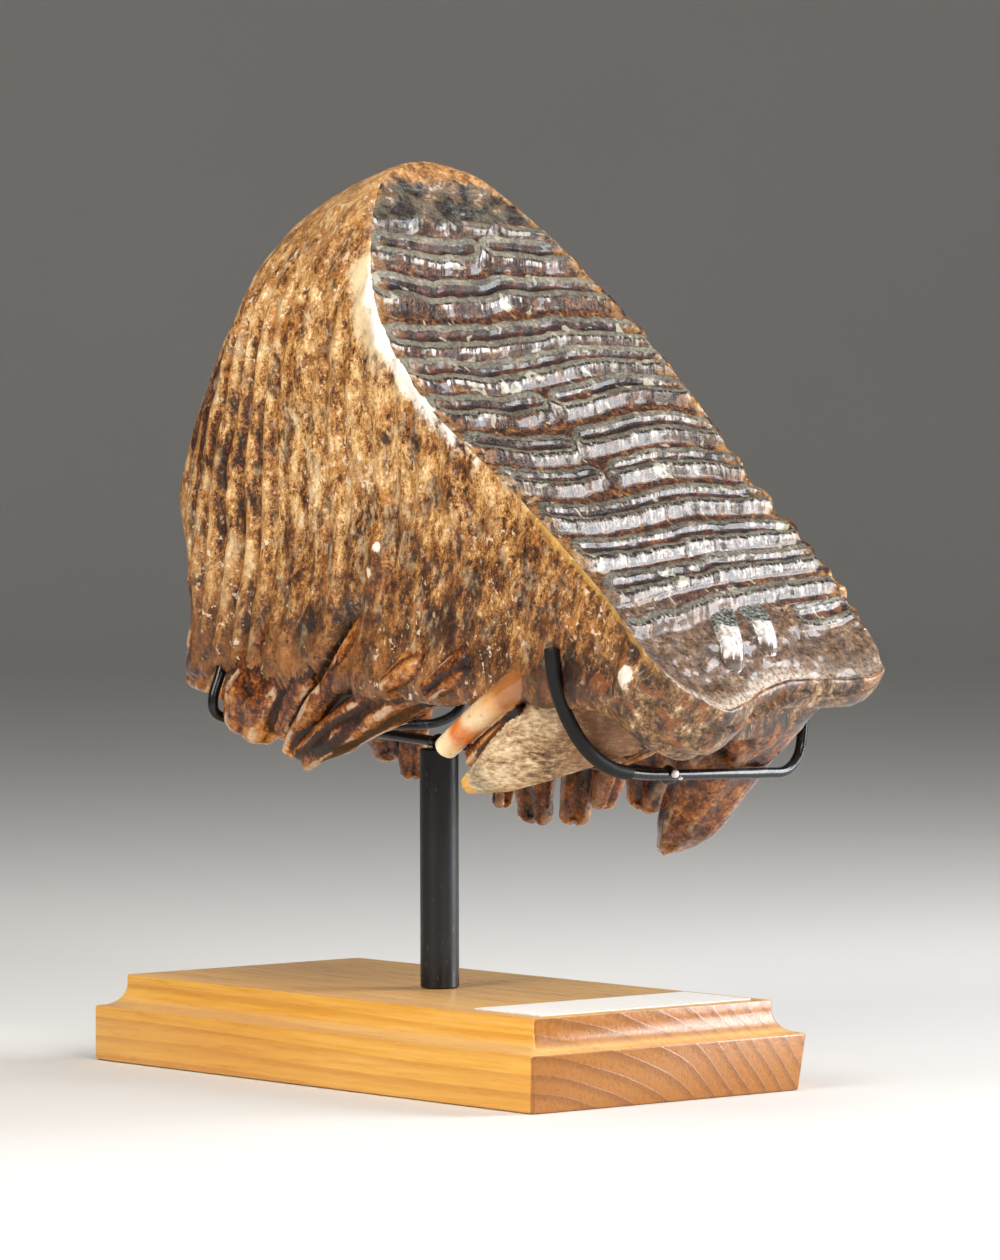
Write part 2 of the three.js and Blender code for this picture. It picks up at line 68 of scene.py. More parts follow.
REAR_ARM = [
    (-50, -39.6, 119), (-50, -41.6, 113), (-50, -43.6, 107.6), (-50, -43.2, 103.4), (-50, -39.0, 101.4),
    (-50, -24, 100), (-50, -2.7, 98), (-48, 22, 97.4), (-46, 37, 98), (-45, 43.6, 101.6),
    (-44.6, 45.4, 108), (-44.4, 45.8, 119)]

# Crown. A place along the tooth is its x at the root line, on the middle line.
REAR = -94.9
FRONT = 147
REAR_END = {"centre": -45, "depth": 50, "width": 42}
NEAR_WIDTH = [(-45, 42), (0, 44), (60, 46), (130, 46), (147, 44)]
FAR_WIDTH = [(-45, 42), (0, 43), (50, 46.5), (85, 46.5), (105, 48), (122, 48.5), (133, 46.5), (142, 46),
             (147, 44)]
DOME = [(-95, 205), (-90, 219), (-85, 229), (-75, 240), (-60, 250.5), (-45, 254.5), (-30, 258),
        (-15, 260.5), (-5, 261), (10, 259), (30, 256), (60, 250), (147, 240)]
DOME_FALL = 61
WAIST = [(95, 0), (111, 0), (117, 2), (126, 7), (134, 6.5), (142, 4.5), (162, 0)]
WAIST_FADE = {"from": -50, "length": 40}
REAR_LEAN = {"from": 165, "share": 0.4, "length": 95}
WORN_FROM = -14
WORN = [(-14, 261), (-4, 256), (3, 248), (12, 236.5), (20, 225.5), (48, 197.5), (70, 180), (91, 164),
        (110, 149), (128, 134.5), (140, 124.5), (154, 113)]
WORN_TILT = [(-10, 0), (3, 0), (14, 5), (34, 9), (50, 7), (70, 2), (91, -3), (110, -6), (128, -8),
             (142, -6), (154, -8)]
DISH = {"from": 118, "length": 24, "depth": 8}
CORNER = {"across": (32, 44), "along": (126, 142), "drop": 2.0}
SIDE_REACH = 46
NEAR_FOOT = [(-95, 111), (-82, 111), (-68, 113), (-48, 114), (-30, 112), (0, 110), (60, 109),
             (95, 110), (112, 108), (122, 101), (135, 97), (147, 98)]
NEAR_INSET = [(-95, 0.93), (95, 0.93), (112, 0.85), (125, 0.6), (140, 0.5), (147, 0.5)]
FAR_FOOT = [(-95, 111), (0, 108), (95, 109), (112, 108), (130, 107.5), (142, 107.5), (147, 109.5)]
FAR_INSET = 0.93
SHOULDER = {"rise": 8, "more": 22, "front": (128, 145), "less": 5}
ROOF = [(-95, 114), (-68, 121), (-45, 122), (-20, 118), (50, 118), (90, 113), (118, 110), (128, 99),
        (140, 98), (147, 100)]
UNDERCUT = {"from": 118, "length": 30, "depth": 15, "height": 18}
LIP = {"from": (126, 140), "depth": [(-46, 15), (-36, 16), (-28, 15), (-18, 13), (-8, 10), (4, 8.5), (44, 8)]}
WORN_PLATES = [-4, 5.5, 13, 21.5, 33, 42.5, 53, 67, 79.5, 92.5, 104, 114.5, 123.5, 132, 140]
REAR_PLATE_PITCH = 9
SWING = [(-20, 2), (33, 4), (60, 0), (92, -4.5), (122, -9), (135, -9), (147, -6)]
BEND = [(-95, 0), (0, 0.5), (33, 1.6), (67, 2.8), (92, 1.3), (114, 0), (147, 0)]
BOW = [(-95, 0), (60, 0), (92, -2), (114, -1.5), (130, -1.5), (147, -3)]
FRONT_LINE = [(-46, -5), (-37, -2), (-24, 2), (-14, 0.5), (-4.5, -2.2), (8, -3.0), (24, -2.0), (36, -1.2),
              (44, -2.5)]
FRONT_LINE_FROM = 124
HALF_SPAN = 42
BEND_START = -40
CREASE_SHARE = 0.42
RIB = {"near": 0.9, "far": 1.5, "fade": 18}
FINE = 160

# Mesh density: points on the near wall, the top, the far wall and the underside, and the places in
# each plate as shares of its pitch, close together over the enamel
OUTLINE = {"near": 54, "top": 96, "far": 27, "under": 12}
WORN_STEPS = [-0.45, -0.4, -0.36, -0.325, -0.28, -0.22, -0.16, -0.13, -0.1, -0.06, 0.01, 0.08, 0.12, 0.16,
              0.21, 0.26, 0.31, 0.36, 0.41, 0.46, 0.51]
REAR_STEPS = [-0.5, -0.38, -0.25, -0.12, 0, 0.12, 0.25, 0.38]

# Enamel loops. A plate not named in ISLANDS is one loop from rim to rim; None stands for the rim. The
# relief across an enamel band is given as distances from the loop's middle line, negative inside the loop.
LOOP = {"half": 3.0, "inner": (-2.0, -1.2), "rear_outer": (1.15, 1.9), "front_outer": (0.9, 4.0),
        "inside": -0.35, "top": 0.75, "outside": -1.4, "tilt": 0.08}
NEAR_START = [(0, 0.8), (6, 1.4), (8, 2.4), (9, 3.6), (11, 4.2), (12, 3.0)]
FAR_START = 0.8
ISLANDS = {
    0: [(-14, -6), (-3.5, 5.5), (8, 15)], 1: [(None, -14.5), (-11.5, -4.5), (-1.5, 13), (15.5, None)],
    2: [(None, 3), (5.5, None)], 6: [(None, -6.5), (-3.5, None)], 7: [(None, -9), (-6.2, None)],
    8: [(None, -9.5), (-3.5, None)], 13: [(23, None)], 14: []}
SINGLE_LINES = {12: 0.35}
FACE_FALL_END = (12.1, 13.0)
CAP = {"from": 243, "to": 248, "far": (8, 30, 3)}
# The loop distance that stands for no enamel near, the ring point where the plates' pitch is measured, and
# the least and most of it
NO_LOOP = 9.0
PITCH_POINT = 120
PITCH_RANGE = (8, 16)
# Lumps of the walls: size and height of each layer
WALL_LUMPS = ((24, 0.8), (10, 0.5), (4.2, 0.32), (2.1, 0.16))


def course(pairs, at):
    """A smooth line through given (place, value) pairs, with no overshoot."""
    x, y = np.array(pairs, float).T
    rise = np.diff(y) / np.diff(x)
    product = rise[:-1] * rise[1:]
    total = rise[:-1] + rise[1:]
    inner = np.where(product > 0, 2 * product / np.where(total == 0, 1, total), 0)
    slope = np.concatenate([rise[:1], inner, rise[-1:]])
    at = np.clip(at, x[0], x[-1])
    i = np.clip(np.searchsorted(x, at, side="right") - 1, 0, len(x) - 2)
    width = x[i + 1] - x[i]
    t = (at - x[i]) / width
    return ((2 * t ** 3 - 3 * t ** 2 + 1) * y[i] + (t ** 3 - 2 * t ** 2 + t) * width * slope[i]
            + (3 * t ** 2 - 2 * t ** 3) * y[i + 1] + (t ** 3 - t ** 2) * width * slope[i + 1])


def clamp01(value):
    return np.clip(value, 0, 1)


def smooth(value, low, high):
    """0 at low, 1 at high and smooth between them."""
    t = clamp01((value - low) / (high - low))
    return t * t * (3 - 2 * t)


LATTICE = np.random.default_rng(5).uniform(-1, 1, (32, 32, 32))


def lumps(points, size, seed=0):
    """Smooth noise from -1 to 1 over points in millimetres, with features of about that size."""
    place = np.asarray(points, float) / size + seed * 7.31
    cell = np.floor(place).astype(int)
    t = place - cell
    t = t * t * (3 - 2 * t)
    result = np.zeros(place.shape[:-1])
    for corner in range(8):
        step = np.array([corner & 1, corner >> 1 & 1, corner >> 2])
        weight = np.prod(np.where(step, t, 1 - t), axis=-1)
        x, y, z = np.moveaxis((cell + step) % 32, -1, 0)
        result += weight * LATTICE[x, y, z]
    return result


def half_width(pairs, s):
    if s >= REAR_END["centre"]:
        return float(course(pairs, s))
    back = (REAR_END["centre"] - s) / REAR_END["depth"]
    return REAR_END["width"] * math.sqrt(1 - back * back)


def wave(s, y):
    """How far forward a plate's line lies at y."""
    side = np.clip(y, -SIDE_REACH, SIDE_REACH)
    return (course(SWING, s) * side / HALF_SPAN
            + course(BEND, s) * np.sin(np.pi * (side - BEND_START) / HALF_SPAN)
            + course(BOW, s) * np.cos(np.pi * side / (2 * HALF_SPAN))
            + course(FRONT_LINE, side) * smooth(s, FRONT_LINE_FROM, FRONT))


def worn_height(s, y):
    if s < WORN_FROM:
        return np.full(np.shape(y), 1e3)
    x = s + wave(s, y)
    across = 1 - clamp01(np.abs(y) / SIDE_REACH) ** 4
    dish = DISH["depth"] * clamp01((x - DISH["from"]) / DISH["length"]) ** 1.5 * across
    corner = CORNER["drop"] * smooth(y, *CORNER["across"]) * smooth(x, *CORNER["along"])
    return course(WORN, x) + course(WORN_TILT, x) * y / (2 * HALF_SPAN) - dish - corner


def dome_height(s, y):
    width = np.where(np.asarray(y) < 0, half_width(NEAR_WIDTH, s), half_width(FAR_WIDTH, s))
    return course(DOME, s) - DOME_FALL * (1 - np.sqrt(np.maximum(0, 1 - (y / width) ** 2)))


def place(s, y, z):
    """A point of the crown in space."""
    lean = REAR_LEAN["share"] * clamp01(-s / REAR_LEAN["length"]) * np.maximum(0, z - REAR_LEAN["from"])
    waist = course(WAIST, z) * clamp01((WAIST_FADE["from"] - s) / WAIST_FADE["length"])
    low = clamp01((worn_height(s, y) - z) / UNDERCUT["height"])
    undercut = UNDERCUT["depth"] * clamp01((s - UNDERCUT["from"]) / UNDERCUT["length"]) * low
    return np.stack([s + wave(s, y) + lean + waist - undercut, y, z], -1)


def wall(s, side):
    """One wall of the crown at a place, from its lower edge up to the rim, as (y, z) points."""
    near = side < 0
    width = half_width(NEAR_WIDTH if near else FAR_WIDTH, s)
    foot = float(course(NEAR_FOOT if near else FAR_FOOT, s))
    inset = float(course(NEAR_INSET, s)) if near else FAR_INSET
    shoulder = foot + SHOULDER["rise"] + SHOULDER["more"] * (FAR_INSET - inset)
    if not near:
        shoulder -= SHOULDER["less"] * smooth(s, *SHOULDER["front"])
    turn = np.linspace(0, np.pi / 2, FINE)
    curl = np.stack([side * width * (inset + (1 - inset) * np.sin(turn)),
                     foot + (shoulder - foot) * (1 - np.cos(turn))], -1)
    top = max(float(course(DOME, s)) - DOME_FALL, shoulder)
    rise = np.stack([np.full(FINE, side * width), np.linspace(shoulder, top, FINE + 1)[1:]], -1)
    y = side * width * np.cos(turn[1:])
    arch = np.stack([y, dome_height(s, y)], -1)
    over = rise[:, 1] > worn_height(s, rise[:, 0])
    if over.any():
        return np.vstack([curl, rise[:np.argmax(over)]])
    over = (np.abs(arch[:, 0]) < width * CREASE_SHARE) | (arch[:, 1] > worn_height(s, arch[:, 0]))
    return np.vstack([curl, rise, arch[:np.argmax(over)]])


def spread(points, count):
    """Spreads count points evenly along a line of (y, z) points, without its last point."""
    lengths = np.concatenate([[0], np.cumsum(np.linalg.norm(np.diff(points, axis=0), axis=1))])
    at = lengths[-1] * np.arange(count) / count
    return np.stack([np.interp(at, lengths, points[:, c]) for c in (0, 1)], -1), lengths[-1] - at


def outline(s):
    """The closed outline of the crown at a place, with what the relief and colours need at each point.

    The columns are y, z, the part of the outline, and the distance to the rim, negative on the walls."""
    near, far = wall(s, -1), wall(s, 1)
    start, end = near[-1, 0], far[-1, 0]
    y = np.linspace(start, end, FINE)
    top = np.stack([y, np.minimum(dome_height(s, y), worn_height(s, y))], -1)
    t = np.linspace(0, 1, FINE)
    edge = far[0, 1] + (near[0, 1] - far[0, 1]) * t
    arch = 1 - np.abs(2 * t - 1) ** 3
    under = np.stack([far[0, 0] + (near[0, 0] - far[0, 0]) * t, edge + (course(ROOF, s) - edge) * arch], -1)
    lip = worn_height(s, under[:, 0]) - course(LIP["depth"], under[:, 0])
    under[:, 1] += smooth(s, *LIP["from"]) * (1 - np.abs(2 * t - 1) ** 10) * (lip - under[:, 1])
    rows = []
    points, left = spread(near, OUTLINE["near"])
    rows.append(np.column_stack([points, np.zeros(len(points)), -left]))
    points, left = spread(top, OUTLINE["top"])
    rows.append(np.column_stack([points, np.ones(len(points)), np.minimum(points[:, 0] - start,
                                                                       end - points[:, 0])]))
    rows.append(np.array([[end, top[-1, 1], 2, 0]]))
    points, left = spread(far, OUTLINE["far"])
    rows.append(np.column_stack([points, np.full(len(points), 2.0), -left])[:0:-1])
    points, left = spread(under, OUTLINE["under"])
    rows.append(np.column_stack([points, np.full(len(points), 3.0), np.full(len(points), -60.0)]))
    return np.vstack(rows)


def plate_places():
    """The place of every plate's middle along the tooth, and the number of plates behind the worn ones."""
    count = int((WORN_PLATES[0] - REAR) // REAR_PLATE_PITCH)
    rear = [WORN_PLATES[0] - REAR_PLATE_PITCH * k for k in range(count, 0, -1)]
    return np.array(rear + WORN_PLATES, float), count


def stations():
    """Pairs of a plate coordinate, which is whole on each plate's middle, and its place along the tooth."""
    places, count = plate_places()
    numbers = np.arange(len(places)) - count
    coordinates = []
    for number in numbers:
        steps = WORN_STEPS if number >= 0 else REAR_STEPS
        coordinates += [number + step for step in steps]
    edge = numbers[-1] + 0.5
    xs = np.concatenate([[places[0] - REAR_PLATE_PITCH], places, [FRONT]])
    ns = np.concatenate([[numbers[0] - 1], numbers, [edge]])
    pairs = [(c, float(np.interp(c, ns, xs))) for c in coordinates]
    pairs = [(c, s) for c, s in pairs if REAR + 0.5 < s < FRONT - 0.5]
    first = pairs[0][0] - 0.05
    return [(first, REAR)] + pairs + [(edge, FRONT)]


def loop_distance(number, across, y, start, end):
    """Signed distance from the middle of the nearest enamel band, negative inside its loop."""
    best = np.full(across.shape, NO_LOOP)
    for low, high in ISLANDS.get(number, [(None, None)]):
        low = start + course(NEAR_START, max(number, 0)) if low is None else low
        high = end - FAR_START if high is None else high
        half = SINGLE_LINES.get(number, LOOP["half"] + 0.2 * math.sin(2.1 * number))
        beyond = np.maximum(np.maximum(low + half - y, y - high + half), 0)
        best = np.minimum(best, np.hypot(across, beyond) - half)
    return best


def enamel_relief(d, across):
    """Height of the worn face over its middle surface. The front flank of each loop is long and sloping."""
    inner = smooth(d, *LOOP["inner"])
    front = smooth(across, -0.8, 0.8)
    outer = smooth(d, *LOOP["rear_outer"]) * (1 - front) + smooth(d, *LOOP["front_outer"]) * front
    height = LOOP["inside"] + (LOOP["top"] - LOOP["inside"]) * inner
    height = height + (LOOP["outside"] - LOOP["top"]) * outer
    return height + LOOP["tilt"] * across * (1 - smooth(np.abs(across), 2.6, 4))


def ring_strip(count, low):
    """Triangles that close a ring, climbing its two sides from the point at low."""
    right, left = (low + 1) % count, (low - 1) % count
    faces = [(right, low, left)]
    for k in range(count - 3):
        if k % 2:
            faces.append((right, left, (left - 1) % count))
            left = (left - 1) % count
        else:
            faces.append(((right + 1) % count, right, left))
            right = (right + 1) % count
    return faces


def grid_normals(grid):
    """Outward normals of a grid of rings that close on themselves."""
    along = np.gradient(grid, axis=0)
    around = np.roll(grid, -1, 1) - np.roll(grid, 1, 1)
    normal = np.cross(along, around)
    if (normal * (grid - grid.mean(1, keepdims=True))).sum() < 0:
        normal = -normal
    return normal / np.maximum(np.linalg.norm(normal, axis=-1, keepdims=True), 1e-9)


# Grooves cut in the near wall below GROOVE_TOP: the points of each, its half width and its depth
GROOVE_TOP = 150
GROOVES = [
    {"path": [(20, -44, 139), (14, -45, 131), (8, -45, 124), (0, -45, 116), (-9, -44, 109)], "width": 2.8,
     "depth": 11.0},
    {"path": [(-27, -42, 140), (-25, -42, 126), (-24, -42, 115)], "width": 3, "depth": 2.2},
    {"path": [(-64, -36, 139), (-62, -37, 126), (-60, -38, 118)], "width": 3.2, "depth": 2.6}]


def groove_depth(points, groove):
    line = np.array([catmull(groove["path"], t) for t in np.linspace(0, 1, 24)])
    far = np.linalg.norm(points[:, None, :] - line[None], axis=2)
    nearest = far.argmin(1)
    fade = smooth(nearest / (len(line) - 1), 0, 0.45)
    return groove["depth"] * fade * np.exp(-(far.min(1) / groove["width"]) ** 2)


# Small knobs on the near wall
BUMPS = [{"at": (135.5, -44, 118.5), "reach": 3.8, "height": 2.6, "scale": (1, 1, 1)},
         {"at": (142, -44, 117.5), "reach": 3.2, "height": 2.2, "scale": (0.4, 0.6, 1)},
         {"at": (27, -45, 149), "reach": 4.2, "height": 1.6, "scale": (1, 1, 0.7)},
         {"at": (-3, -43, 160), "reach": 3.5, "height": 0.8, "scale": (1, 1, 1)}]


def bump_height(points, bump):
    far = np.linalg.norm((points - np.array(bump["at"])) * bump["scale"], axis=-1)
    return bump["height"] * np.exp(-(far / bump["reach"]) ** 2)


def catmull(points, t):
    """A point of the centripetal Catmull-Rom curve through points, with t from 0 to 1."""
    p = np.array(points, float)
    at = t * (len(p) - 1)
    i = min(int(at), len(p) - 2)
    u = at - i
    before = p[i - 1] if i else 2 * p[0] - p[1]
    after = p[i + 2] if i + 2 < len(p) else 2 * p[-1] - p[-2]
    a, b = p[i], p[i + 1]
    d0, d1, d2 = (max(math.sqrt(np.linalg.norm(v)), 1e-6) for v in (a - before, b - a, after - b))
    m0 = ((a - before) / d0 - (b - before) / (d0 + d1) + (b - a) / d1) * d1
    m1 = ((b - a) / d1 - (after - a) / (d1 + d2) + (after - b) / d2) * d1
    return a + m0 * u + (3 * (b - a) - 2 * m0 - m1) * u ** 2 + (2 * (a - b) + m0 + m1) * u ** 3


def catmull_spaced(points, count, share=1.0):
    """count points evenly along the first share of that curve."""
    fine = np.array([catmull(points, t) for t in np.linspace(0, 1, 400)])
    lengths = np.concatenate([[0], np.cumsum(np.linalg.norm(np.diff(fine, axis=0), axis=1))])
    at = np.linspace(0, lengths[-1] * share, count)
    return np.stack([np.interp(at, lengths, fine[:, c]) for c in range(3)], -1)


class Form:
    """A closed form being built: points in millimetres, faces, the skin of each face, and point values."""
    VALUES = ("loop", "across", "lip", "along", "rib", "front", "pit")

    def __init__(self):
        self.points = []
        self.faces = []
        self.skins = []
        self.values = {name: [] for name in self.VALUES}

    def mesh(self, name):
        data = bpy.data.meshes.new(name)
        data.from_pydata([tuple(p) for p in np.array(self.points) * MM], [], self.faces)
        data.polygons.foreach_set("material_index", self.skins)
        data.polygons.foreach_set("use_smooth", [True] * len(self.faces))
        data.update()
        return data


def plate_layers(pairs, grid, part, y):
    """Each point's distance from an enamel loop, way across its plate, rib, and whether it is on the worn face.
    """
    loop = np.full(part.shape, NO_LOOP)
    across, rib, worn = (np.zeros(part.shape) for _ in range(3))
    for row, (c, s) in enumerate(pairs):
        number = int(math.floor(c + 0.5))
        spots = grid[row]
        drift = 0.10 * lumps(spots * [0, 1, 0] + [0, 0, 40 * number], 9, 1)
        drift += 0.035 * lumps(spots * [0, 1, 0] + [0, 0, 40 * number + 20 * (c > number)], 3.2, 2)
        before, after = max(row - 1, 0), min(row + 1, len(pairs) - 1)
        pitch = np.linalg.norm(grid[after, PITCH_POINT] - grid[before, PITCH_POINT])
        pitch_length = np.clip(pitch / abs(pairs[after][0] - pairs[before][0]), *PITCH_RANGE)
        across[row] = (c - number + drift) * pitch_length
        bend = 0.42 * lumps(spots, 36, 7) + 0.2 * lumps(spots * [1, 1, 0.6], 14, 8)
        bend += 1.1 * (1 - smooth(spots[:, 2], 108, 165))
        rib[row] = np.cos(2 * np.pi * (c + bend)) * clamp01((s - REAR) / RIB["fade"])
        if s >= WORN_FROM:
            worn[row] = (part[row] == 1) & (worn_height(s, y[row]) <= dome_height(s, y[row]) + 0.01)
            if 0 <= number < len(WORN_PLATES):
                start = y[row][part[row] == 1].min()
                end = y[row][part[row] == 2].max()
                loop[row] = loop_distance(number, across[row], y[row], start, end)
    return loop, across, rib, worn


def face_height(pairs, grid, y, loop, across):
    """Height of the worn face over its middle surface, which ends at the front and on the cap."""
    face = enamel_relief(loop, across)
    coordinate = np.array([c for c, _ in pairs])[:, None]
    face -= LOOP["outside"] * smooth(coordinate, *FACE_FALL_END) * smooth(loop, *LOOP["front_outer"])
    far_from, far_to, far_drop = CAP["far"]
    return face * (1 - smooth(grid[..., 2] + far_drop * smooth(y, far_from, far_to), CAP["from"], CAP["to"]))


def raise_walls(relief, grid, part, y, lip, rib, walls):
    """Adds the ribs, lumps and flakes of the walls to the relief."""
    depth = np.where(y < 0, RIB["near"], RIB["far"])
    fade = np.where(part == 3, 0, 1) * np.where(part == 1, 1 - smooth(lip, 0, 15), 1)
    strength = 0.3 + 0.6 * lumps(grid * [1, 1, 0.4], 30, 3) + 0.8 * lumps(grid * [1, 1, 0.3], 13, 13)
    strength += 0.6 * smooth(-grid[..., 0], -5, 45)
    strength = np.clip(strength, 0, 1.3) * (1 - 0.8 * smooth(grid[..., 2], 195, 238))
    relief += walls * depth * rib * fade * strength
    stretched = grid * [1, 1, 0.45]
    softer = np.where(part == 1, 0.4, 1)
    for size, height in WALL_LUMPS:
        relief += walls * softer * height * lumps(stretched, size, 4)
    flakes = smooth(lumps(grid * [1, 1, 0.6], 13, 9), 0.02, 0.2) * smooth(lumps(grid, 5, 10), -0.5, 0.1)
    relief += walls * softer * 0.55 * flakes


def carve_wall(points, part):
    """Cuts the grooves and raises the knobs of the near wall. Also returns how deep each point was cut."""
    flat = points.reshape(-1, 3)
    near = part.reshape(-1) == 0
    low_wall = near & (flat[:, 2] < GROOVE_TOP)
    pit = np.zeros(len(flat))
    for groove in GROOVES:
        pit[low_wall] += groove_depth(flat[low_wall], groove)
    flat[:, 1] += pit
    for bump in BUMPS:
        flat[:, 1] -= bump_height(flat, bump) * near
    return flat.reshape(points.shape), pit.reshape(part.shape)


def crown_form():
    """The crown as rings of points, with its ribs, enamel loops, grooves and small lumps raised."""
    pairs = stations()
    data = np.array([outline(s) for _, s in pairs])
    y, part, lip = data[..., 0], data[..., 2], data[..., 3]
    grid = np.array([place(s, ring[:, 0], ring[:, 1]) for (_, s), ring in zip(pairs, data)])
    loop, across, rib, worn = plate_layers(pairs, grid, part, y)
    relief = worn * smooth(lip, 0, 2.2) * face_height(pairs, grid, y, loop, across)
    raise_walls(relief, grid, part, y, lip, rib, (part != 1) | (worn == 0))
    uneven = 1 + 1.6 * smooth(grid[..., 0], 118, 130)
    relief += worn * uneven * (0.18 * lumps(grid, 2.4, 5) + 0.22 * lumps(grid, 6, 6))
    points, pit = carve_wall(grid + grid_normals(grid) * relief[..., None], part)
    front = np.array([FRONT - s for _, s in pairs])[:, None] * np.ones(part.shape)
    values = {"loop": loop, "across": across, "lip": lip, "rib": rib, "front": front, "pit": pit}
    return rings_to_form(points, values, worn, nose_rings(points[-1], part[-1]))


# The rounded front end: how far along it each ring lies, its length, and how much it narrows
NOSE_STEPS = (0.3, 0.55, 0.75, 0.9, 0.98)
NOSE_LENGTH = 3.0
NOSE_TAPER = 0.04


def nose_rings(last, part):
    """Rings that round the front end off towards a line half way between its top and its underside."""
    middle = np.zeros(last.shape)
    middle[:, 1] = last[:, 1]
    for number in (1, 3):
        line = last[part == number]
        line = line[line[:, 1].argsort()]
        for axis in (0, 2):
            middle[:, axis] += 0.5 * np.interp(last[:, 1], line[:, 1], line[:, axis])
    rings = []
    for share in NOSE_STEPS:
        ring = last + (middle - last) * (1 - math.sqrt(1 - share ** 2))
        ring[:, 0] += NOSE_LENGTH * share
        ring[:, 1] *= 1 - NOSE_TAPER * share ** 2
        rings.append(ring)
    return rings


SKINS = ["cementum", "chewing", "root", "peg", "wedge", "finger"]


def rings_to_form(points, values, worn, front):
    """Joins the rings and the front end's rings, and closes both ends."""
    form = Form()
    rings, count = points.shape[:2]
    form.points = list(np.concatenate([points.reshape(-1, 3), np.array(front).reshape(-1, 3)]))
    for name in form.VALUES:
        if name in values:
            tail = np.tile(values[name][-1], (len(front), 1))
            if name == "lip":
                tail = np.full(tail.shape, -10.0)
            form.values[name] = list(np.vstack([values[name], tail]).reshape(-1))
        else:
            form.values[name] = [0.0] * len(form.points)
    total = rings + len(front)
    for r in range(total - 1):
        for k in range(count):
            a, b = r * count + k, r * count + (k + 1) % count
            form.faces.append((a, b, b + count, a + count))
            top = r < rings - 1 and worn[r, k] and worn[r, (k + 1) % count] and worn[r + 1, k]
            form.skins.append(SKINS.index("chewing") if top else SKINS.index("cementum"))
    for triangle in ring_strip(count, count - OUTLINE["under"] // 2):
        form.faces.append(triangle)
        form.skins.append(0)
    form.faces.append(tuple((total - 1) * count + k for k in range(count)))
    form.skins.append(0)
    return form
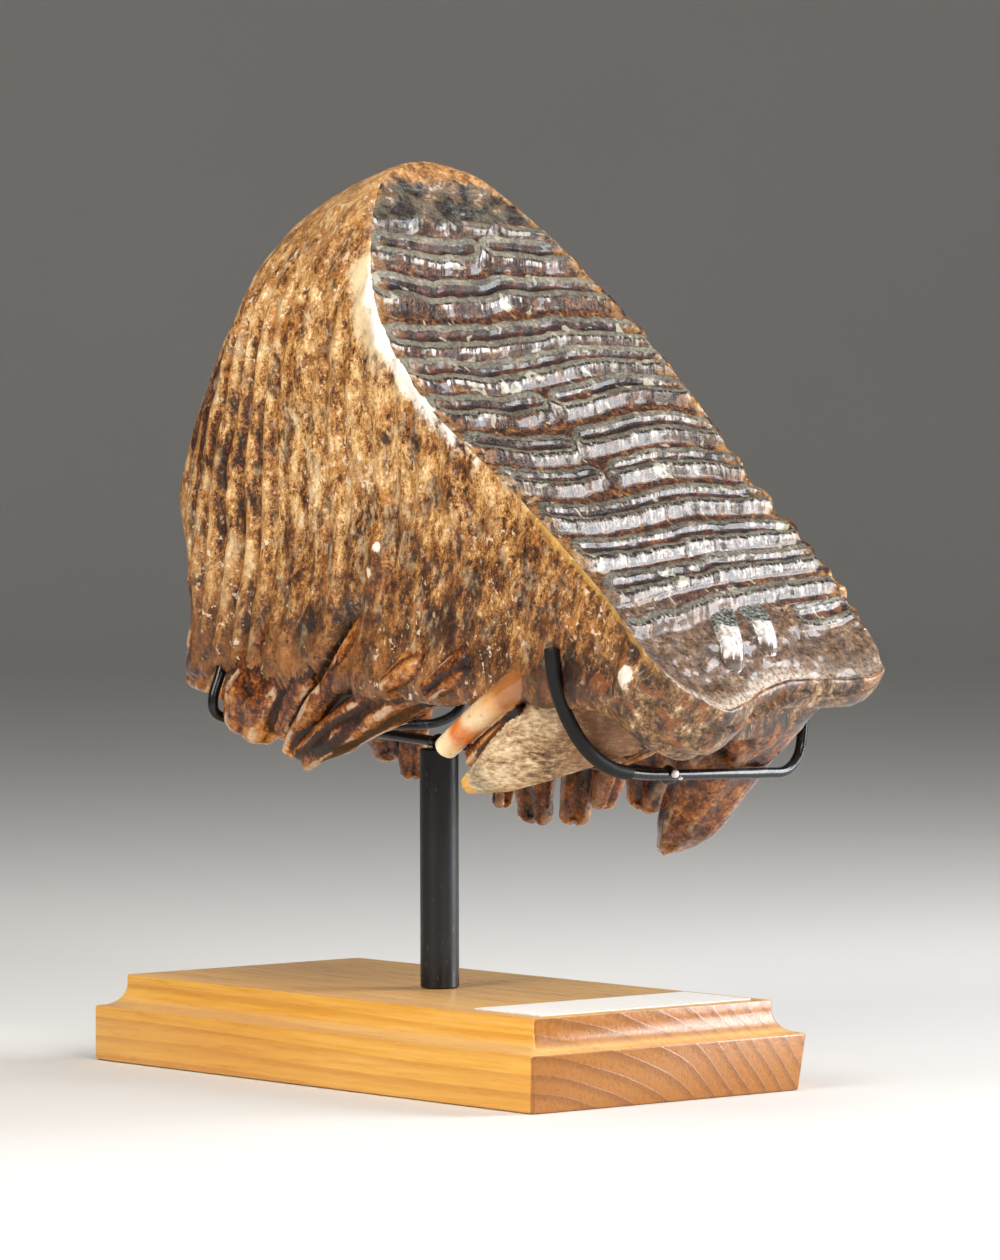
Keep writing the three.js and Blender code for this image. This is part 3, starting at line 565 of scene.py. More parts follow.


# Roots. Each has a path from inside the crown down to its tip, with its half breadth and half thickness at each
# point. broad is the way its breadth runs, flutes is the number of ridges round it, and slits is how dark the
# painted shade in the grooves between them is.
VIEW = (-0.771, 0.637, 0)
SLIT_ROOT = {"flutes": 3, "slits": 0.3}
FAR_ROOT = {**SLIT_ROOT, "rough": 1.7}
ROOTS = {
    "rear_fin": {"path": [(-74, -19, 138), (-79, -22, 122), (-82, -24, 110)],
                 "size": [(10, 8), (8, 6), (6, 4)]},
    "rear_strip": {"path": [(-49, -30, 132), (-52, -33, 119), (-55, -35, 107)],
                   "size": [(4, 4), (3, 3), (2.2, 2.2)]},
    "rear_bundle": {"path": [(-22, -31, 133), (-29, -34, 120), (-37, -36, 109), (-42, -36.5, 99)],
                    "size": [(15, 9), (14, 9), (14, 9), (9, 6)], "flutes": 5, "slits": 0.45},
    "rear_second": {"path": [(0, -35, 134), (-8, -38, 120), (-17, -38, 108), (-27, -36, 98.5)],
                    "size": [(5, 5), (4.5, 4.5), (4, 4), (3, 3)], **SLIT_ROOT, "rough": 0.7},
    "ridge": {"path": [(18, -36, 131), (9.5, -39, 121), (2, -39, 113.5), (-9, -38.5, 105.5), (-22, -37, 93)],
              "size": [(5, 5), (4.4, 4.4), (4, 4), (4, 4), (2.8, 2.8)], **SLIT_ROOT, "rough": 0.7},
    "flute_high": {"path": [(30, -36, 117), (19, -39, 110), (-1, -39, 101), (-16, -38, 92.5)],
                   "size": [(5, 5), (3.8, 3.8), (3.4, 3.4), (3, 3)], **SLIT_ROOT, "rough": 0.6},
    "flute_middle": {"path": [(34, -35, 112), (22, -38.5, 106), (5, -39, 98.5), (-13, -38, 90.5)],
                     "size": [(5, 5), (4, 4), (3.6, 3.6), (3, 3)], **SLIT_ROOT, "rough": 0.6},
    "flute_low": {"path": [(34, -32, 113), (19, -36, 106), (5, -37.5, 100), (-5, -37.5, 95.5)],
                  "size": [(7, 7), (6, 6), (5, 5), (4, 4)], "flutes": 5, "slits": 0.5},
    "flute_core": {"path": [(18, -31, 122), (4, -32, 108), (-9, -33, 97)],
                   "size": [(14, 8), (12, 7), (6, 5)]},
    "stub_rear": {"path": [(53, -38, 126), (43, -43.5, 119.5), (34, -46.8, 113.5)],
                  "size": [(5.5, 5), (4.8, 4.5), (3, 3)], "flutes": 3},
    "stub_front": {"path": [(75, -38, 127), (64, -43.5, 119.5), (52.5, -46.8, 112.5)],
                   "size": [(5.5, 5), (5, 4.5), (3, 3)], "flutes": 3},
    "peg": {"path": [(99, -37, 123), (87, -44, 115), (72, -46, 105.5), (59, -46, 97.5)],
            "size": [(4.6, 4.6), (4.3, 4.3), (3.9, 3.9),
                     (3.4, 3.4)], "skin": "peg", "rough": 0.15, "flutes": 3},
    "peg_lump": {"path": [(84, -36, 110), (73, -39, 99), (65, -40, 94)], "size": [(9, 8), (7, 6), (4, 4)]},
    "wedge": {"path": [(106, -24, 112), (97, -30, 106), (88, -37.5, 99), (78, -42.5, 92.5),
                       (67.5, -45, 87.5)],
              "size": [(16, 7.5), (13.5, 7), (10.5, 6.2), (7, 5.3), (2.6, 2.6)], "broad": VIEW,
              "skin": "wedge", "rough": 0.3},
    "wedge_neighbour": {"path": [(121, -14, 110), (112, -16.5, 102), (99.7, -17.6, 96)],
                        "size": [(5, 5), (4.5, 4), (3.3, 3)]},
    "front_root": {"path": [(108, 28.5, 112), (97.5, 28, 100), (88, 27.5, 90), (83, 26.7, 82), (78, 25, 75),
                            (73.5, 25, 70.5), (68, 25.3, 67)],
                   "size": [(12, 18), (9.5, 16), (8, 14.8), (7.3, 12), (6, 9.6), (4.4, 6.4),
                            (2.2, 2.4)], "rough": 0.7,
                   "slits": 0.25},
    "far_rear": {"path": [(-74, 34, 120), (-75, 38, 102), (-71, 39, 88)], "size": [(11, 8), (9, 7), (6, 4)],
                 **FAR_ROOT},
    "far_second": {"path": [(-60, 36, 120), (-61, 39, 100), (-63, 40, 82)],
                   "size": [(7, 6), (6, 5), (3.5, 3)], **FAR_ROOT},
    "far_thin": {"path": [(-20, 38, 115), (-21, 40, 92), (-22, 41, 75)],
                 "size": [(6, 6), (4, 4), (2.5, 2.5)], **FAR_ROOT},
    "far_third": {"path": [(-2, 38, 118), (-6, 41, 92), (-9, 43, 72)], "size": [(11, 8), (9, 6), (5, 4)],
                  **FAR_ROOT},
    "far_fourth": {"path": [(14, 38, 118), (12, 42, 92), (8, 43, 72)], "size": [(9, 8), (7, 6), (4, 4)],
                   **FAR_ROOT},
    "far_fifth": {"path": [(28, 38, 118), (26, 42, 94), (21, 42, 77)], "size": [(7, 7), (5.5, 5), (3.5, 3)],
                  **FAR_ROOT},
    "far_sixth": {"path": [(54, 36, 118), (51, 38, 95), (46, 37, 78)], "size": [(13, 9), (10, 7), (5, 4)],
                  **FAR_ROOT},
}
FINGERS = {
    "near": {"path": [(122.2, -3.2, 136.2), (126.3, -5.3, 131.7), (131.2, -7.8, 126.4), (134.2, -9.4, 122.8),
                      (133, -10.2, 117)],
             "size": [(5.4, 4), (5.4, 4), (5.2, 4), (4.8, 3.9), (4, 3)], "cap": (126.7, -5.5, 134.3),
             "skin": "finger", "rough": 0.08},
    "far": {"path": [(121.2, 8.4, 137.2), (125.1, 7.6, 132.9), (129, 6.8, 128.2), (131, 6.2, 125.4),
                     (130, 5.6, 120)],
            "size": [(5.2, 4), (5.2, 4), (4.6, 3.8), (4.2, 3.6), (3, 2.6)], "cap": (125.5, 7.6, 135.1),
            "skin": "finger", "rough": 0.08},
}
# Point values of a root that don't change along it
ROOT_VALUES = {"loop": NO_LOOP, "lip": -60.0, "front": 200.0}
ROOT_RINGS = 30
ROOT_SIDES = 34
# The rounded tip: share of the last ring's size and how far on each ring lies
TIP = [(0.97, 0.3), (0.85, 0.75), (0.6, 1.1), (0.3, 1.3)]
WEAR_NORMAL = (0.45, -0.1, 0.89)


def unit_tangents(line):
    tangents = np.gradient(line, axis=0)
    return tangents / np.linalg.norm(tangents, axis=1, keepdims=True)


def bridge(rings, sides):
    """Faces between rings of points that close on themselves."""
    return [(r * sides + k, r * sides + (k + 1) % sides, (r + 1) * sides + (k + 1) % sides,
             (r + 1) * sides + k)
            for r in range(rings - 1) for k in range(sides)]


def taper(shape, turn):
    """A root's rings of points without its relief, and the way its tip points."""
    steps = np.linspace(0, 1, ROOT_RINGS)
    sizes = np.array([catmull([(a, b, 0) for a, b in shape["size"]], t)[:2] for t in steps])
    middles = np.array([catmull(shape["path"], t) for t in steps])
    tangents = unit_tangents(middles)
    rings = []
    for middle, tangent, half in zip(middles, tangents, sizes):
        if "broad" in shape:
            wide = np.cross(tangent, shape["broad"])
        else:
            wide = np.array([1, 0, 0]) - tangent * tangent[0]
        wide /= np.linalg.norm(wide)
        deep = np.cross(tangent, wide)
        rings.append([middle + half[0] * math.cos(a) * wide + half[1] * math.sin(a) * deep for a in turn])
    for share, beyond in TIP:
        step = tangents[-1] * beyond * 0.35 * sizes[-1].min()
        rings.append([middles[-1] + step + (p - middles[-1]) * share for p in rings[ROOT_RINGS - 1]])
    return np.array(rings), tangents[-1]


def root_form(shape, seed):
    """One root: a fluted, lumpy taper with a rounded broken tip."""
    turn = np.linspace(0, 2 * np.pi, ROOT_SIDES, endpoint=False)
    grid, ahead = taper(shape, turn)
    normals = grid_normals(grid)
    wander = 0.5 * lumps(grid, 14, seed)
    flutes = 1.5 * (np.abs(np.sin(shape.get("flutes", 7) / 2 * turn[None] + seed + wander)) - 0.64)
    relief = shape.get("rough", 1.0) * (flutes + 0.9 * lumps(grid, 9, seed) + 0.25 * lumps(grid, 3.4, seed))
    tip_fade = np.ones(len(grid))
    tip_fade[-len(TIP):] = 0.6
    grid = grid + normals * (relief * tip_fade[:, None])[..., None]
    if "cap" in shape:
        over = np.maximum((grid - shape["cap"]) @ np.array(WEAR_NORMAL), 0)
        grid = grid - over[..., None] * np.array(WEAR_NORMAL)
    form = Form()
    form.points = list(grid.reshape(-1, 3)) + [grid[-1].mean(0) + ahead * 0.1]
    for name in form.VALUES:
        form.values[name] = [ROOT_VALUES.get(name, 0.0)] * len(form.points)
    form.values["along"] = list(np.repeat(np.linspace(0, 1, len(grid)), ROOT_SIDES)) + [1.0]
    # The depth of the grooves, which the root skin paints as shade.
    form.values["pit"] = list(2 * shape.get("slits", 1.0) * np.maximum(-flutes, 0).reshape(-1)) + [0.0]
    form.values["rib"] = list(flutes.reshape(-1)) + [0.0]
    form.values["across"] = list((normals @ np.array(WEAR_NORMAL)).reshape(-1)) + [0.0]
    form.faces = bridge(len(grid), ROOT_SIDES) + [tuple(range(ROOT_SIDES - 1, -1, -1))]
    base = (len(grid) - 1) * ROOT_SIDES
    form.faces += [(base + k, base + (k + 1) % ROOT_SIDES, len(form.points) - 1) for k in range(ROOT_SIDES)]
    form.skins = [SKINS.index(shape.get("skin", "root"))] * len(form.faces)
    return form


def tube_form(line, radius, sides=20, hollow=0.0, chamfer=0.35):
    """A round bar along a line of points, with a small chamfer at each end, or a hollow sleeve."""
    form = Form()
    line = np.asarray(line, float)
    tangents = unit_tangents(line)
    side = np.cross(tangents[0], (0.3, 0.2, 0.9))
    frames = []
    for tangent in tangents:
        side = side - tangent * side.dot(tangent)
        side /= np.linalg.norm(side)
        frames.append((side, np.cross(tangent, side)))
    turn = np.linspace(0, 2 * np.pi, sides, endpoint=False)

    def ring(k, r, shift=0.0):
        a, b = frames[k]
        middle = line[k] + tangents[k] * shift
        return [middle + r * (math.cos(t) * a + math.sin(t) * b) for t in turn]

    last = len(line) - 1
    rings = [ring(0, radius - chamfer)] + [ring(0, radius, chamfer)]
    rings += [ring(k, radius) for k in range(1, last)]
    rings += [ring(last, radius, -chamfer), ring(last, radius - chamfer)]
    if hollow:
        rings += [ring(k, hollow) for k in range(last, -1, -1)]
    form.points = [p for r in rings for p in r]
    count = len(rings)
    spans = range(count) if hollow else range(count - 1)
    for r in spans:
        for k in range(sides):
            a, b = r * sides + k, r * sides + (k + 1) % sides
            c, d = (r + 1) % count * sides + (k + 1) % sides, (r + 1) % count * sides + k
            form.faces.append((a, b, c, d))
    if not hollow:
        form.faces.append(tuple(range(sides - 1, -1, -1)))
        form.faces.append(tuple((count - 1) * sides + k for k in range(sides)))
    form.skins = [0] * len(form.faces)
    return form


def mesh_of(name, points, faces):
    mesh = bpy.data.meshes.new(name)
    mesh.from_pydata(points, [], faces)
    return mesh


def rounded(x, y, corner):
    """The corner points of a rectangle of half sizes x and y with rounded corners."""
    points = []
    for cx, cy, start in ((1, -1, -90), (1, 1, 0), (-1, 1, 90), (-1, -1, 180)):
        for t in np.radians(np.linspace(start, start + 90, 4)):
            points.append((cx * (x - corner) + corner * math.cos(t),
                           cy * (y - corner) + corner * math.sin(t)))
    return points


def add_object(name, mesh):
    piece = bpy.data.objects.new(name, mesh)
    bpy.context.scene.collection.objects.link(piece)
    return piece


def combine(target, tool, operation):
    """Applies a boolean to target and deletes the tool."""
    modifier = target.modifiers.new("combine", "BOOLEAN")
    modifier.object = tool
    modifier.operation = operation
    modifier.solver = "MANIFOLD"
    view = bpy.context.evaluated_depsgraph_get()
    mesh = bpy.data.meshes.new_from_object(target.evaluated_get(view))
    mesh.materials.clear()
    target.modifiers.clear()
    target.data = mesh
    bpy.data.objects.remove(tool)


def outward(mesh):
    """Turns a closed mesh's faces out if they point in."""
    points = np.empty(len(mesh.vertices) * 3)
    mesh.vertices.foreach_get("co", points)
    points = points.reshape(-1, 3)
    mesh.calc_loop_triangles()
    corners = np.empty(len(mesh.loop_triangles) * 3, int)
    mesh.loop_triangles.foreach_get("vertices", corners)
    a, b, c = points[corners.reshape(-1, 3)].transpose(1, 0, 2)
    if np.einsum("ij,ij->i", a, np.cross(b, c)).sum() < 0:
        mesh.flip_normals()
    return mesh


def read_points(mesh):
    points = np.empty(len(mesh.vertices) * 3)
    mesh.vertices.foreach_get("co", points)
    return points.reshape(-1, 3)


def read_edges(mesh):
    edges = np.empty(len(mesh.edges) * 2, int)
    mesh.edges.foreach_get("vertices", edges)
    return edges.reshape(-1, 2)


def relax(mesh, steps, weight=1.0):
    """Moves each point towards the middle of its neighbours, by the weight at that point."""
    points, edges = read_points(mesh), read_edges(mesh)
    ends = np.concatenate([edges[:, 0], edges[:, 1]])
    others = np.concatenate([edges[:, 1], edges[:, 0]])
    count = np.maximum(np.bincount(ends, minlength=len(points)), 1)
    share = 0.5 * np.broadcast_to(weight, len(points))[:, None]
    for _ in range(steps):
        total = np.stack([np.bincount(ends, points[others, c], len(points)) for c in range(3)], -1)
        points += share * (total / count[:, None] - points)
    mesh.vertices.foreach_set("co", points.reshape(-1))
    mesh.update()


def tree_of(points):
    tree = KDTree(len(points))
    for index, point in enumerate(points):
        tree.insert(point, index)
    tree.balance()
    return tree


# Seams between the crown and the roots: how far the softening reaches, its steps, and how dark the painted
# shade along them gets. The softening stops beside the wires, and the room for a wire goes on past its end by
# TIP_ROOM.
SEAM_REACH = 3.5
SEAM_STEPS = 8
SEAM_PIT = {"slit": 2.4, "crown": 0.95}
WIRE_CLEAR = (2.8, 5.0)
TIP_ROOM = 0.8


def soften_seams(mesh, forms, lines):
    """Fillets the lines where the roots leave the crown and meet one another, but not beside the wires, and
    paints shade along all of them through the pit value.
    """
    tree = tree_of(np.concatenate([np.array(form.points) for form in forms]) * MM)
    owner = np.concatenate([np.full(len(form.points), number) for number, form in enumerate(forms)])
    points, edges = read_points(mesh), read_edges(mesh)
    owners = owner[[tree.find(p)[1] for p in points]]
    ends = owners[edges]
    crossing = ends[:, 0] != ends[:, 1]
    seam = tree_of(points[np.unique(edges[crossing])])
    far = np.array([seam.find(p)[2] for p in points]) / MM
    slit = tree_of(points[np.unique(edges[crossing & (ends.min(1) > 0)])])
    slit_far = np.array([slit.find(p)[2] for p in points]) / MM
    pits = np.empty(len(points))
    layer = mesh.attributes["pit"].data
    layer.foreach_get("value", pits)
    # Painted shade: the pit value is raised along the seams, so the skins paint them dark.
    dark = SEAM_PIT["slit"] * (1 - smooth(slit_far, 0.3, SEAM_REACH * 0.6))
    dark = np.maximum(dark, SEAM_PIT["crown"] * (1 - smooth(far, 0.2, SEAM_REACH * 0.7)))
    layer.foreach_set("value", np.maximum(pits, dark))
    wires = tree_of(np.concatenate(lines) * MM)
    room = np.array([wires.find(p)[2] for p in points]) / MM
    relax(mesh, SEAM_STEPS, (1 - smooth(far, SEAM_REACH * 0.3, SEAM_REACH)) * smooth(room, *WIRE_CLEAR))


def lengthened(line, extra):
    """The line with each end carried straight on by extra."""
    start, end = line[0] - line[1], line[-1] - line[-2]
    return np.vstack([line[0] + start / np.linalg.norm(start) * extra, line,
                      line[-1] + end / np.linalg.norm(end) * extra])


def make_tooth():
    """Joins the crown and its roots, leaves room for the wires, and gives each place its values and skin."""
    crown = crown_form()
    roots = [root_form(shape, seed + 1) for seed, shape in enumerate(ROOTS.values())]
    fingers = [root_form(shape, seed + 40) for seed, shape in enumerate(FINGERS.values())]
    tooth = add_object("tooth", outward(crown.mesh("tooth")))
    for number, form in enumerate(roots + fingers):
        combine(tooth, add_object(f"root_{number}", outward(form.mesh("root"))), "UNION")
    wires = [(FRONT_ARM, ROD_RADIUS, 1.0), (REAR_ARM, ROD_RADIUS, 1.0),
             (FRONT_ARM, SLEEVE["outer"], SLEEVE["share"])]
    lines = [catmull_spaced(points, ROD_POINTS, share) for points, _, share in wires]
    for line, (_, radius, _) in zip(lines, wires):
        room = tube_form(lengthened(line, TIP_ROOM), radius + GAP, 20)
        tool = add_object("wire_room", outward(room.mesh("wire_room")))
        combine(tooth, tool, "DIFFERENCE")
    give_values(tooth.data, [crown] + roots + fingers)
    soften_seams(tooth.data, [crown] + roots, lines)
    return tooth


def give_values(mesh, forms):
    """Each point takes the values of the forms' nearest point, and each face the skin of the nearest face."""
    points = np.concatenate([np.array(form.points) for form in forms]) * MM
    tree = tree_of(points)
    nearest = [tree.find(v.co)[1] for v in mesh.vertices]
    for name in Form.VALUES:
        source = np.concatenate([np.array(form.values[name], float) for form in forms])
        layer = mesh.attributes.new(name, "FLOAT", "POINT")
        layer.data.foreach_set("value", source[nearest].astype(np.float32))
    faces, skins, start = [], [], 0
    for form in forms:
        faces += [tuple(start + i for i in face) for face in form.faces]
        skins += form.skins
        start += len(form.points)
    surface = BVHTree.FromPolygons([tuple(p) for p in points], faces)
    picked = [skins[surface.find_nearest(face.center)[2]] for face in mesh.polygons]
    mesh.polygons.foreach_set("material_index", picked)
    mesh.polygons.foreach_set("use_smooth", [True] * len(mesh.polygons))
    mesh.update()


def colour(text):
    """A linear colour from its sRGB hex code."""
    parts = [int(text[k:k + 2], 16) / 255 for k in (0, 2, 4)]
    return tuple(v / 12.92 if v <= 0.04045 else ((v + 0.055) / 1.055) ** 2.4 for v in parts) + (1.0,)


class Shader:
    """Builds one material's nodes. Lengths are in metres."""

    def __init__(self, name, **constants):
        self.material = bpy.data.materials.new(name)
        self.material.use_nodes = True
        self.nodes = self.material.node_tree.nodes
        self.links = self.material.node_tree.links
        self.skin = self.nodes["Principled BSDF"]
        for key, value in constants.items():
            self.skin.inputs[key.replace("_", " ").title().replace("Ior", "IOR")].default_value = value
        self.spot = self.nodes.new("ShaderNodeTexCoord").outputs["Object"]
        self.bumps = None

    def put(self, value, socket):
        if isinstance(value, bpy.types.NodeSocket):
            self.links.new(value, socket)
        else:
            socket.default_value = colour(value) if isinstance(value, str) else value

    def math(self, operation, a, b=0.0):
        node = self.nodes.new("ShaderNodeMath")
        node.operation = operation
        self.put(a, node.inputs[0])
        self.put(b, node.inputs[1])
        return node.outputs[0]

    def times(self, *values):
        result = values[0]
        for value in values[1:]:
            result = self.math("MULTIPLY", result, value)
        return result

    def add(self, *values):
        result = values[0]
        for value in values[1:]:
            result = self.math("ADD", result, value)
        return result

    def ramp(self, value, low, high, to_low=0.0, to_high=1.0):
        node = self.nodes.new("ShaderNodeMapRange")
        node.interpolation_type = "SMOOTHSTEP"
        for socket, number in zip(node.inputs, (value, low, high, to_low, to_high)):
            self.put(number, socket)
        return node.outputs[0]

    def mix(self, share, a, b):
        node = self.nodes.new("ShaderNodeMix")
        node.data_type = "RGBA"
        self.put(share, node.inputs[0])
        self.put(a, node.inputs[6])
        self.put(b, node.inputs[7])
        return node.outputs[2]

    def paint(self, base, over, *shares):
        """The base with a colour over it, by the product of the shares."""
        return self.mix(self.times(*shares), base, over)

    def sway(self, noise, reach):
        """A noise moved to swing about 0."""
        return self.times(self.add(noise, -0.5), reach)

    def stops(self, value, pairs):
        node = self.nodes.new("ShaderNodeValToRGB")
        ramp = node.color_ramp
        while len(ramp.elements) < len(pairs):
            ramp.elements.new(0.5)
        for element, (at, text) in zip(ramp.elements, pairs):
            element.position = at
            element.color = colour(text)
        self.put(value, node.inputs[0])
        return node.outputs[0]

    def axis(self, letter, vector=None):
        node = self.nodes.new("ShaderNodeSeparateXYZ")
        self.put(vector or self.spot, node.inputs[0])
        return node.outputs["XYZ".index(letter)]

    def stretch(self, scale, vector=None):
        node = self.nodes.new("ShaderNodeVectorMath")
        node.operation = "MULTIPLY"
        self.put(vector or self.spot, node.inputs[0])
        node.inputs[1].default_value = scale
        return node.outputs[0]

    def join(self, x, y, z):
        node = self.nodes.new("ShaderNodeCombineXYZ")
        for socket, value in zip(node.inputs, (x, y, z)):
            self.put(value, socket)
        return node.outputs[0]

    def noise(self, size, detail=4.0, rough=0.55, distortion=0.0, vector=None):
        node = self.nodes.new("ShaderNodeTexNoise")
        self.put(vector or self.spot, node.inputs["Vector"])
        node.inputs["Scale"].default_value = 1 / size
        node.inputs["Detail"].default_value = detail
        node.inputs["Roughness"].default_value = rough
        node.inputs["Distortion"].default_value = distortion
        return node.outputs[0]

    def cells(self, size, vector=None):
        node = self.nodes.new("ShaderNodeTexVoronoi")
        self.put(vector or self.spot, node.inputs["Vector"])
        node.inputs["Scale"].default_value = 1 / size
        return node.outputs["Distance"]

    def spot_at(self, place_mm, inner, outer):
        """1 within inner metres of a place in millimetres, falling to 0 at outer."""
        node = self.nodes.new("ShaderNodeVectorMath")
        node.operation = "DISTANCE"
        self.put(self.spot, node.inputs[0])
        node.inputs[1].default_value = [c * MM for c in place_mm]
        return self.ramp(node.outputs["Value"], outer, inner)

    def value(self, name):
        node = self.nodes.new("ShaderNodeAttribute")
        node.attribute_name = name
        return node.outputs["Fac"]

    def bump(self, height, depth, strength=1.0):
        node = self.nodes.new("ShaderNodeBump")
        node.inputs["Distance"].default_value = depth
        node.inputs["Strength"].default_value = strength
        self.put(height, node.inputs["Height"])
        if self.bumps:
            self.links.new(self.bumps, node.inputs["Normal"])
        self.bumps = node.outputs[0]

    def finish(self, base, roughness):
        self.put(base, self.skin.inputs["Base Color"])
        self.put(roughness, self.skin.inputs["Roughness"])
        if self.bumps:
            self.links.new(self.bumps, self.skin.inputs["Normal"])
        return self.material


# Knobs with a painted white highlight: the place in millimetres and the reach in metres
KNOB_HIGHLIGHTS = [((135.5, -46.5, 119), 0.0046), ((29, -45, 151.5), 0.003), ((25, -45, 145), 0.0026)]


def cementum_skin():
    """Varnished cementum: mottled gold and brown, streaked down the ribs with painted shade in their grooves
    and painted highlight on their crests, dark by the roots, with painted shade towards the bottom and rear, in
    the grooves and along the seams, and painted highlights in pale specks, in patches below the rim and on the
    knobs.
    """
    s = Shader("cementum", coat_weight=0.32, coat_roughness=0.12, specular_ior_level=0.35)
    x, y, z = s.axis("X"), s.axis("Y"), s.axis("Z")
    streaky = s.join(s.add(x, s.ramp(z, 0.165, 0.105, 0.0, 0.014)), y, s.times(z, 0.6))
    large = s.noise(0.024, 4, 0.6, 0.6, streaky)
    middle = s.noise(0.0075, 5, 0.7, 0.3, streaky)
    small = s.noise(0.0028, 4, 0.7, 0.2, streaky)
    fine = s.noise(0.0012, 4, 0.75)
    grain = s.noise(0.0006, 3, 0.7)
    tone = s.add(s.times(large, 0.50), s.times(middle, 0.60), s.times(small, 0.70), s.times(fine, 0.42),
                 s.times(grain, 0.25), -0.69)
    low = s.ramp(z, 0.160, 0.112)
    front_low = s.times(s.ramp(z, 0.185, 0.125), s.ramp(x, 0.0, 0.06))
    # Painted shade: darker towards the bottom where the wall turns under, at the lower front, and towards the
    # rear.
    tone = s.add(tone, s.times(low, -0.12), s.times(front_low, -0.03), s.ramp(x, -0.015, -0.08, 0.0, -0.055))
    rib = s.value("rib")
    # Painted shade in the rib grooves and a painted highlight on the rib crests.
    rib_shading = s.ramp(s.add(rib, s.times(large, 2.4), s.times(small, 1.2), -1.8), -0.6, 0.6, -0.08, 0.05)
    tone = s.add(tone, s.times(rib_shading, s.ramp(x, 0.01, -0.04, 0.15, 1.0), s.ramp(z, 0.235, 0.2)))
    tone = s.add(tone, s.times(s.ramp(y, 0.036, 0.044), -0.09))
    base = s.stops(tone, [(0.30, "1c0d06"), (0.40, "4c280f"), (0.47, "845325"), (0.54, "b07d42"),
                          (0.61, "cfa165"), (0.70, "e6c38d"), (0.82, "f8e8c8")])
    red = s.add(s.ramp(s.noise(0.015, 4, 0.6, 0.4), 0.52, 0.66), s.ramp(x, -0.03, -0.08, 0.0, 0.45))
    red = s.times(red, s.ramp(small, 0.35, 0.6), 0.6)
    base = s.mix(red, base, s.mix(s.ramp(fine, 0.3, 0.7), "4a1d08", "9c531f"))
    orange = s.times(s.ramp(s.noise(0.0065, 3, 0.6, 0.5, streaky), 0.56, 0.66), s.ramp(small, 0.38, 0.58),
                     0.65)
    base = s.mix(orange, base, s.mix(fine, "8a3f10", "d08a3c"))
    ashen = s.times(s.ramp(s.noise(0.008, 3, 0.6, 0.5, s.stretch((1.3, 1, 0.8))), 0.55, 0.64), 0.5)
    base = s.mix(ashen, base, s.mix(s.ramp(small, 0.35, 0.65), "4a3a28", "d2bd9a"))
    # Painted shade: the lower wall browner, most towards the rear.
    base = s.mix(s.times(low, s.ramp(x, 0.0, -0.03, 0.35, 0.55)), base,
                 s.mix(s.ramp(middle, 0.35, 0.65), "32180a", "9a6634"))
    foot = s.times(s.ramp(s.add(z, s.times(large, 0.02)), 0.140, 0.124), s.ramp(x, 0.10, 0.06), 0.7)
    base = s.mix(foot, base, s.mix(s.ramp(s.add(s.times(middle, 0.6), s.times(fine, 0.4)), 0.38, 0.6),
                                   "2e1507", "a4672e"))
    # Painted shade in the cut grooves and along the root seams.
    base = s.mix(s.times(s.ramp(s.value("pit"), 0.8, 5.0), 0.9), base, "120804")
    cap = s.times(s.ramp(z, 0.232, 0.25), 0.5)
    base = s.mix(cap, base, s.mix(middle, "8a5a2c", "cf9f64"))
    specks = s.times(s.ramp(s.noise(0.0017, 3, 0.65), 0.60, 0.68), s.ramp(large, 0.62, 0.42))
    base = s.paint(base, "23120a", specks, 0.85)
    # Painted highlights: small pale specks that stand for glints on the varnish.
    pale = s.times(s.ramp(s.noise(0.0024, 3, 0.65, 0.3), 0.60, 0.66), s.ramp(large, 0.38, 0.56))
    base = s.paint(base, "f0e2c6", pale, 0.7)
    lip = s.value("lip")
    near = s.ramp(y, 0.01, -0.01)
    # Painted highlight: pale cream patches on the upper near wall, below the rim.
    patchy = s.times(s.ramp(lip, -26.0, -2.0), s.ramp(x, -0.045, -0.02), s.ramp(x, 0.05, 0.02),
                     s.ramp(z, 0.246, 0.225), near)
    patchy = s.ramp(s.add(patchy, s.times(middle, 0.9), s.times(small, 0.9)), 1.2, 1.75)
    base = s.paint(base, "eed6ae", patchy, 0.75)
    worn_edge = s.times(s.ramp(lip, -11.0, -1.0), s.ramp(x, 0.009, 0.018), s.ramp(x, 0.105, 0.04), near)
    worn_edge = s.ramp(s.add(worn_edge, s.times(middle, 0.8), s.times(small, 1.0), s.times(fine, 0.8)),
                       1.78, 2.25)
    base = s.paint(base, "f8f0e6", worn_edge, 0.92)
    gold = s.times(s.ramp(s.add(lip, s.times(small, 2.0)), -1.6, -0.2), s.ramp(x, 0.085, 0.105), near)
    base = s.paint(base, "cfa04a", gold, 0.6)
    front = s.times(s.ramp(s.add(x, s.times(large, 0.01)), 0.117, 0.130), s.ramp(z, 0.130, 0.118))
    mottled = s.stops(s.add(s.times(middle, 0.6), s.times(small, 0.6), s.times(fine, 0.5), -0.36),
                      [(0.37, "1d1009"), (0.45, "4c301b"), (0.53, "7f5d3b"), (0.62, "b3946b"),
                       (0.70, "e2d3ba")])
    rust = s.ramp(s.noise(0.006, 3, 0.6, 0.4), 0.54, 0.62)
    mottled = s.mix(s.times(rust, 0.7), mottled, s.mix(fine, "6b2f10", "b0672c"))
    base = s.mix(s.times(front, 0.85), base, mottled)
    for knob, reach in KNOB_HIGHLIGHTS:
        near_knob = s.spot_at(knob, reach * 0.25, reach * 1.15)
        base = s.paint(base, "b9783f", near_knob, 0.7)
        # Painted highlight: a white spot on each knob, over its orange-brown colour.
        white = s.ramp(s.add(near_knob, s.times(small, 1.1), s.times(fine, 0.7)), 1.25, 1.55)
        base = s.mix(white, base, "f2e6d6")
    s.bump(s.noise(0.0045, 5, 0.65), 0.0011, 0.5)
    s.bump(small, 0.0008, 0.5)
    s.bump(fine, 0.0005, 0.5)
    return s.finish(base, s.ramp(middle, 0.3, 0.7, 0.28, 0.5))


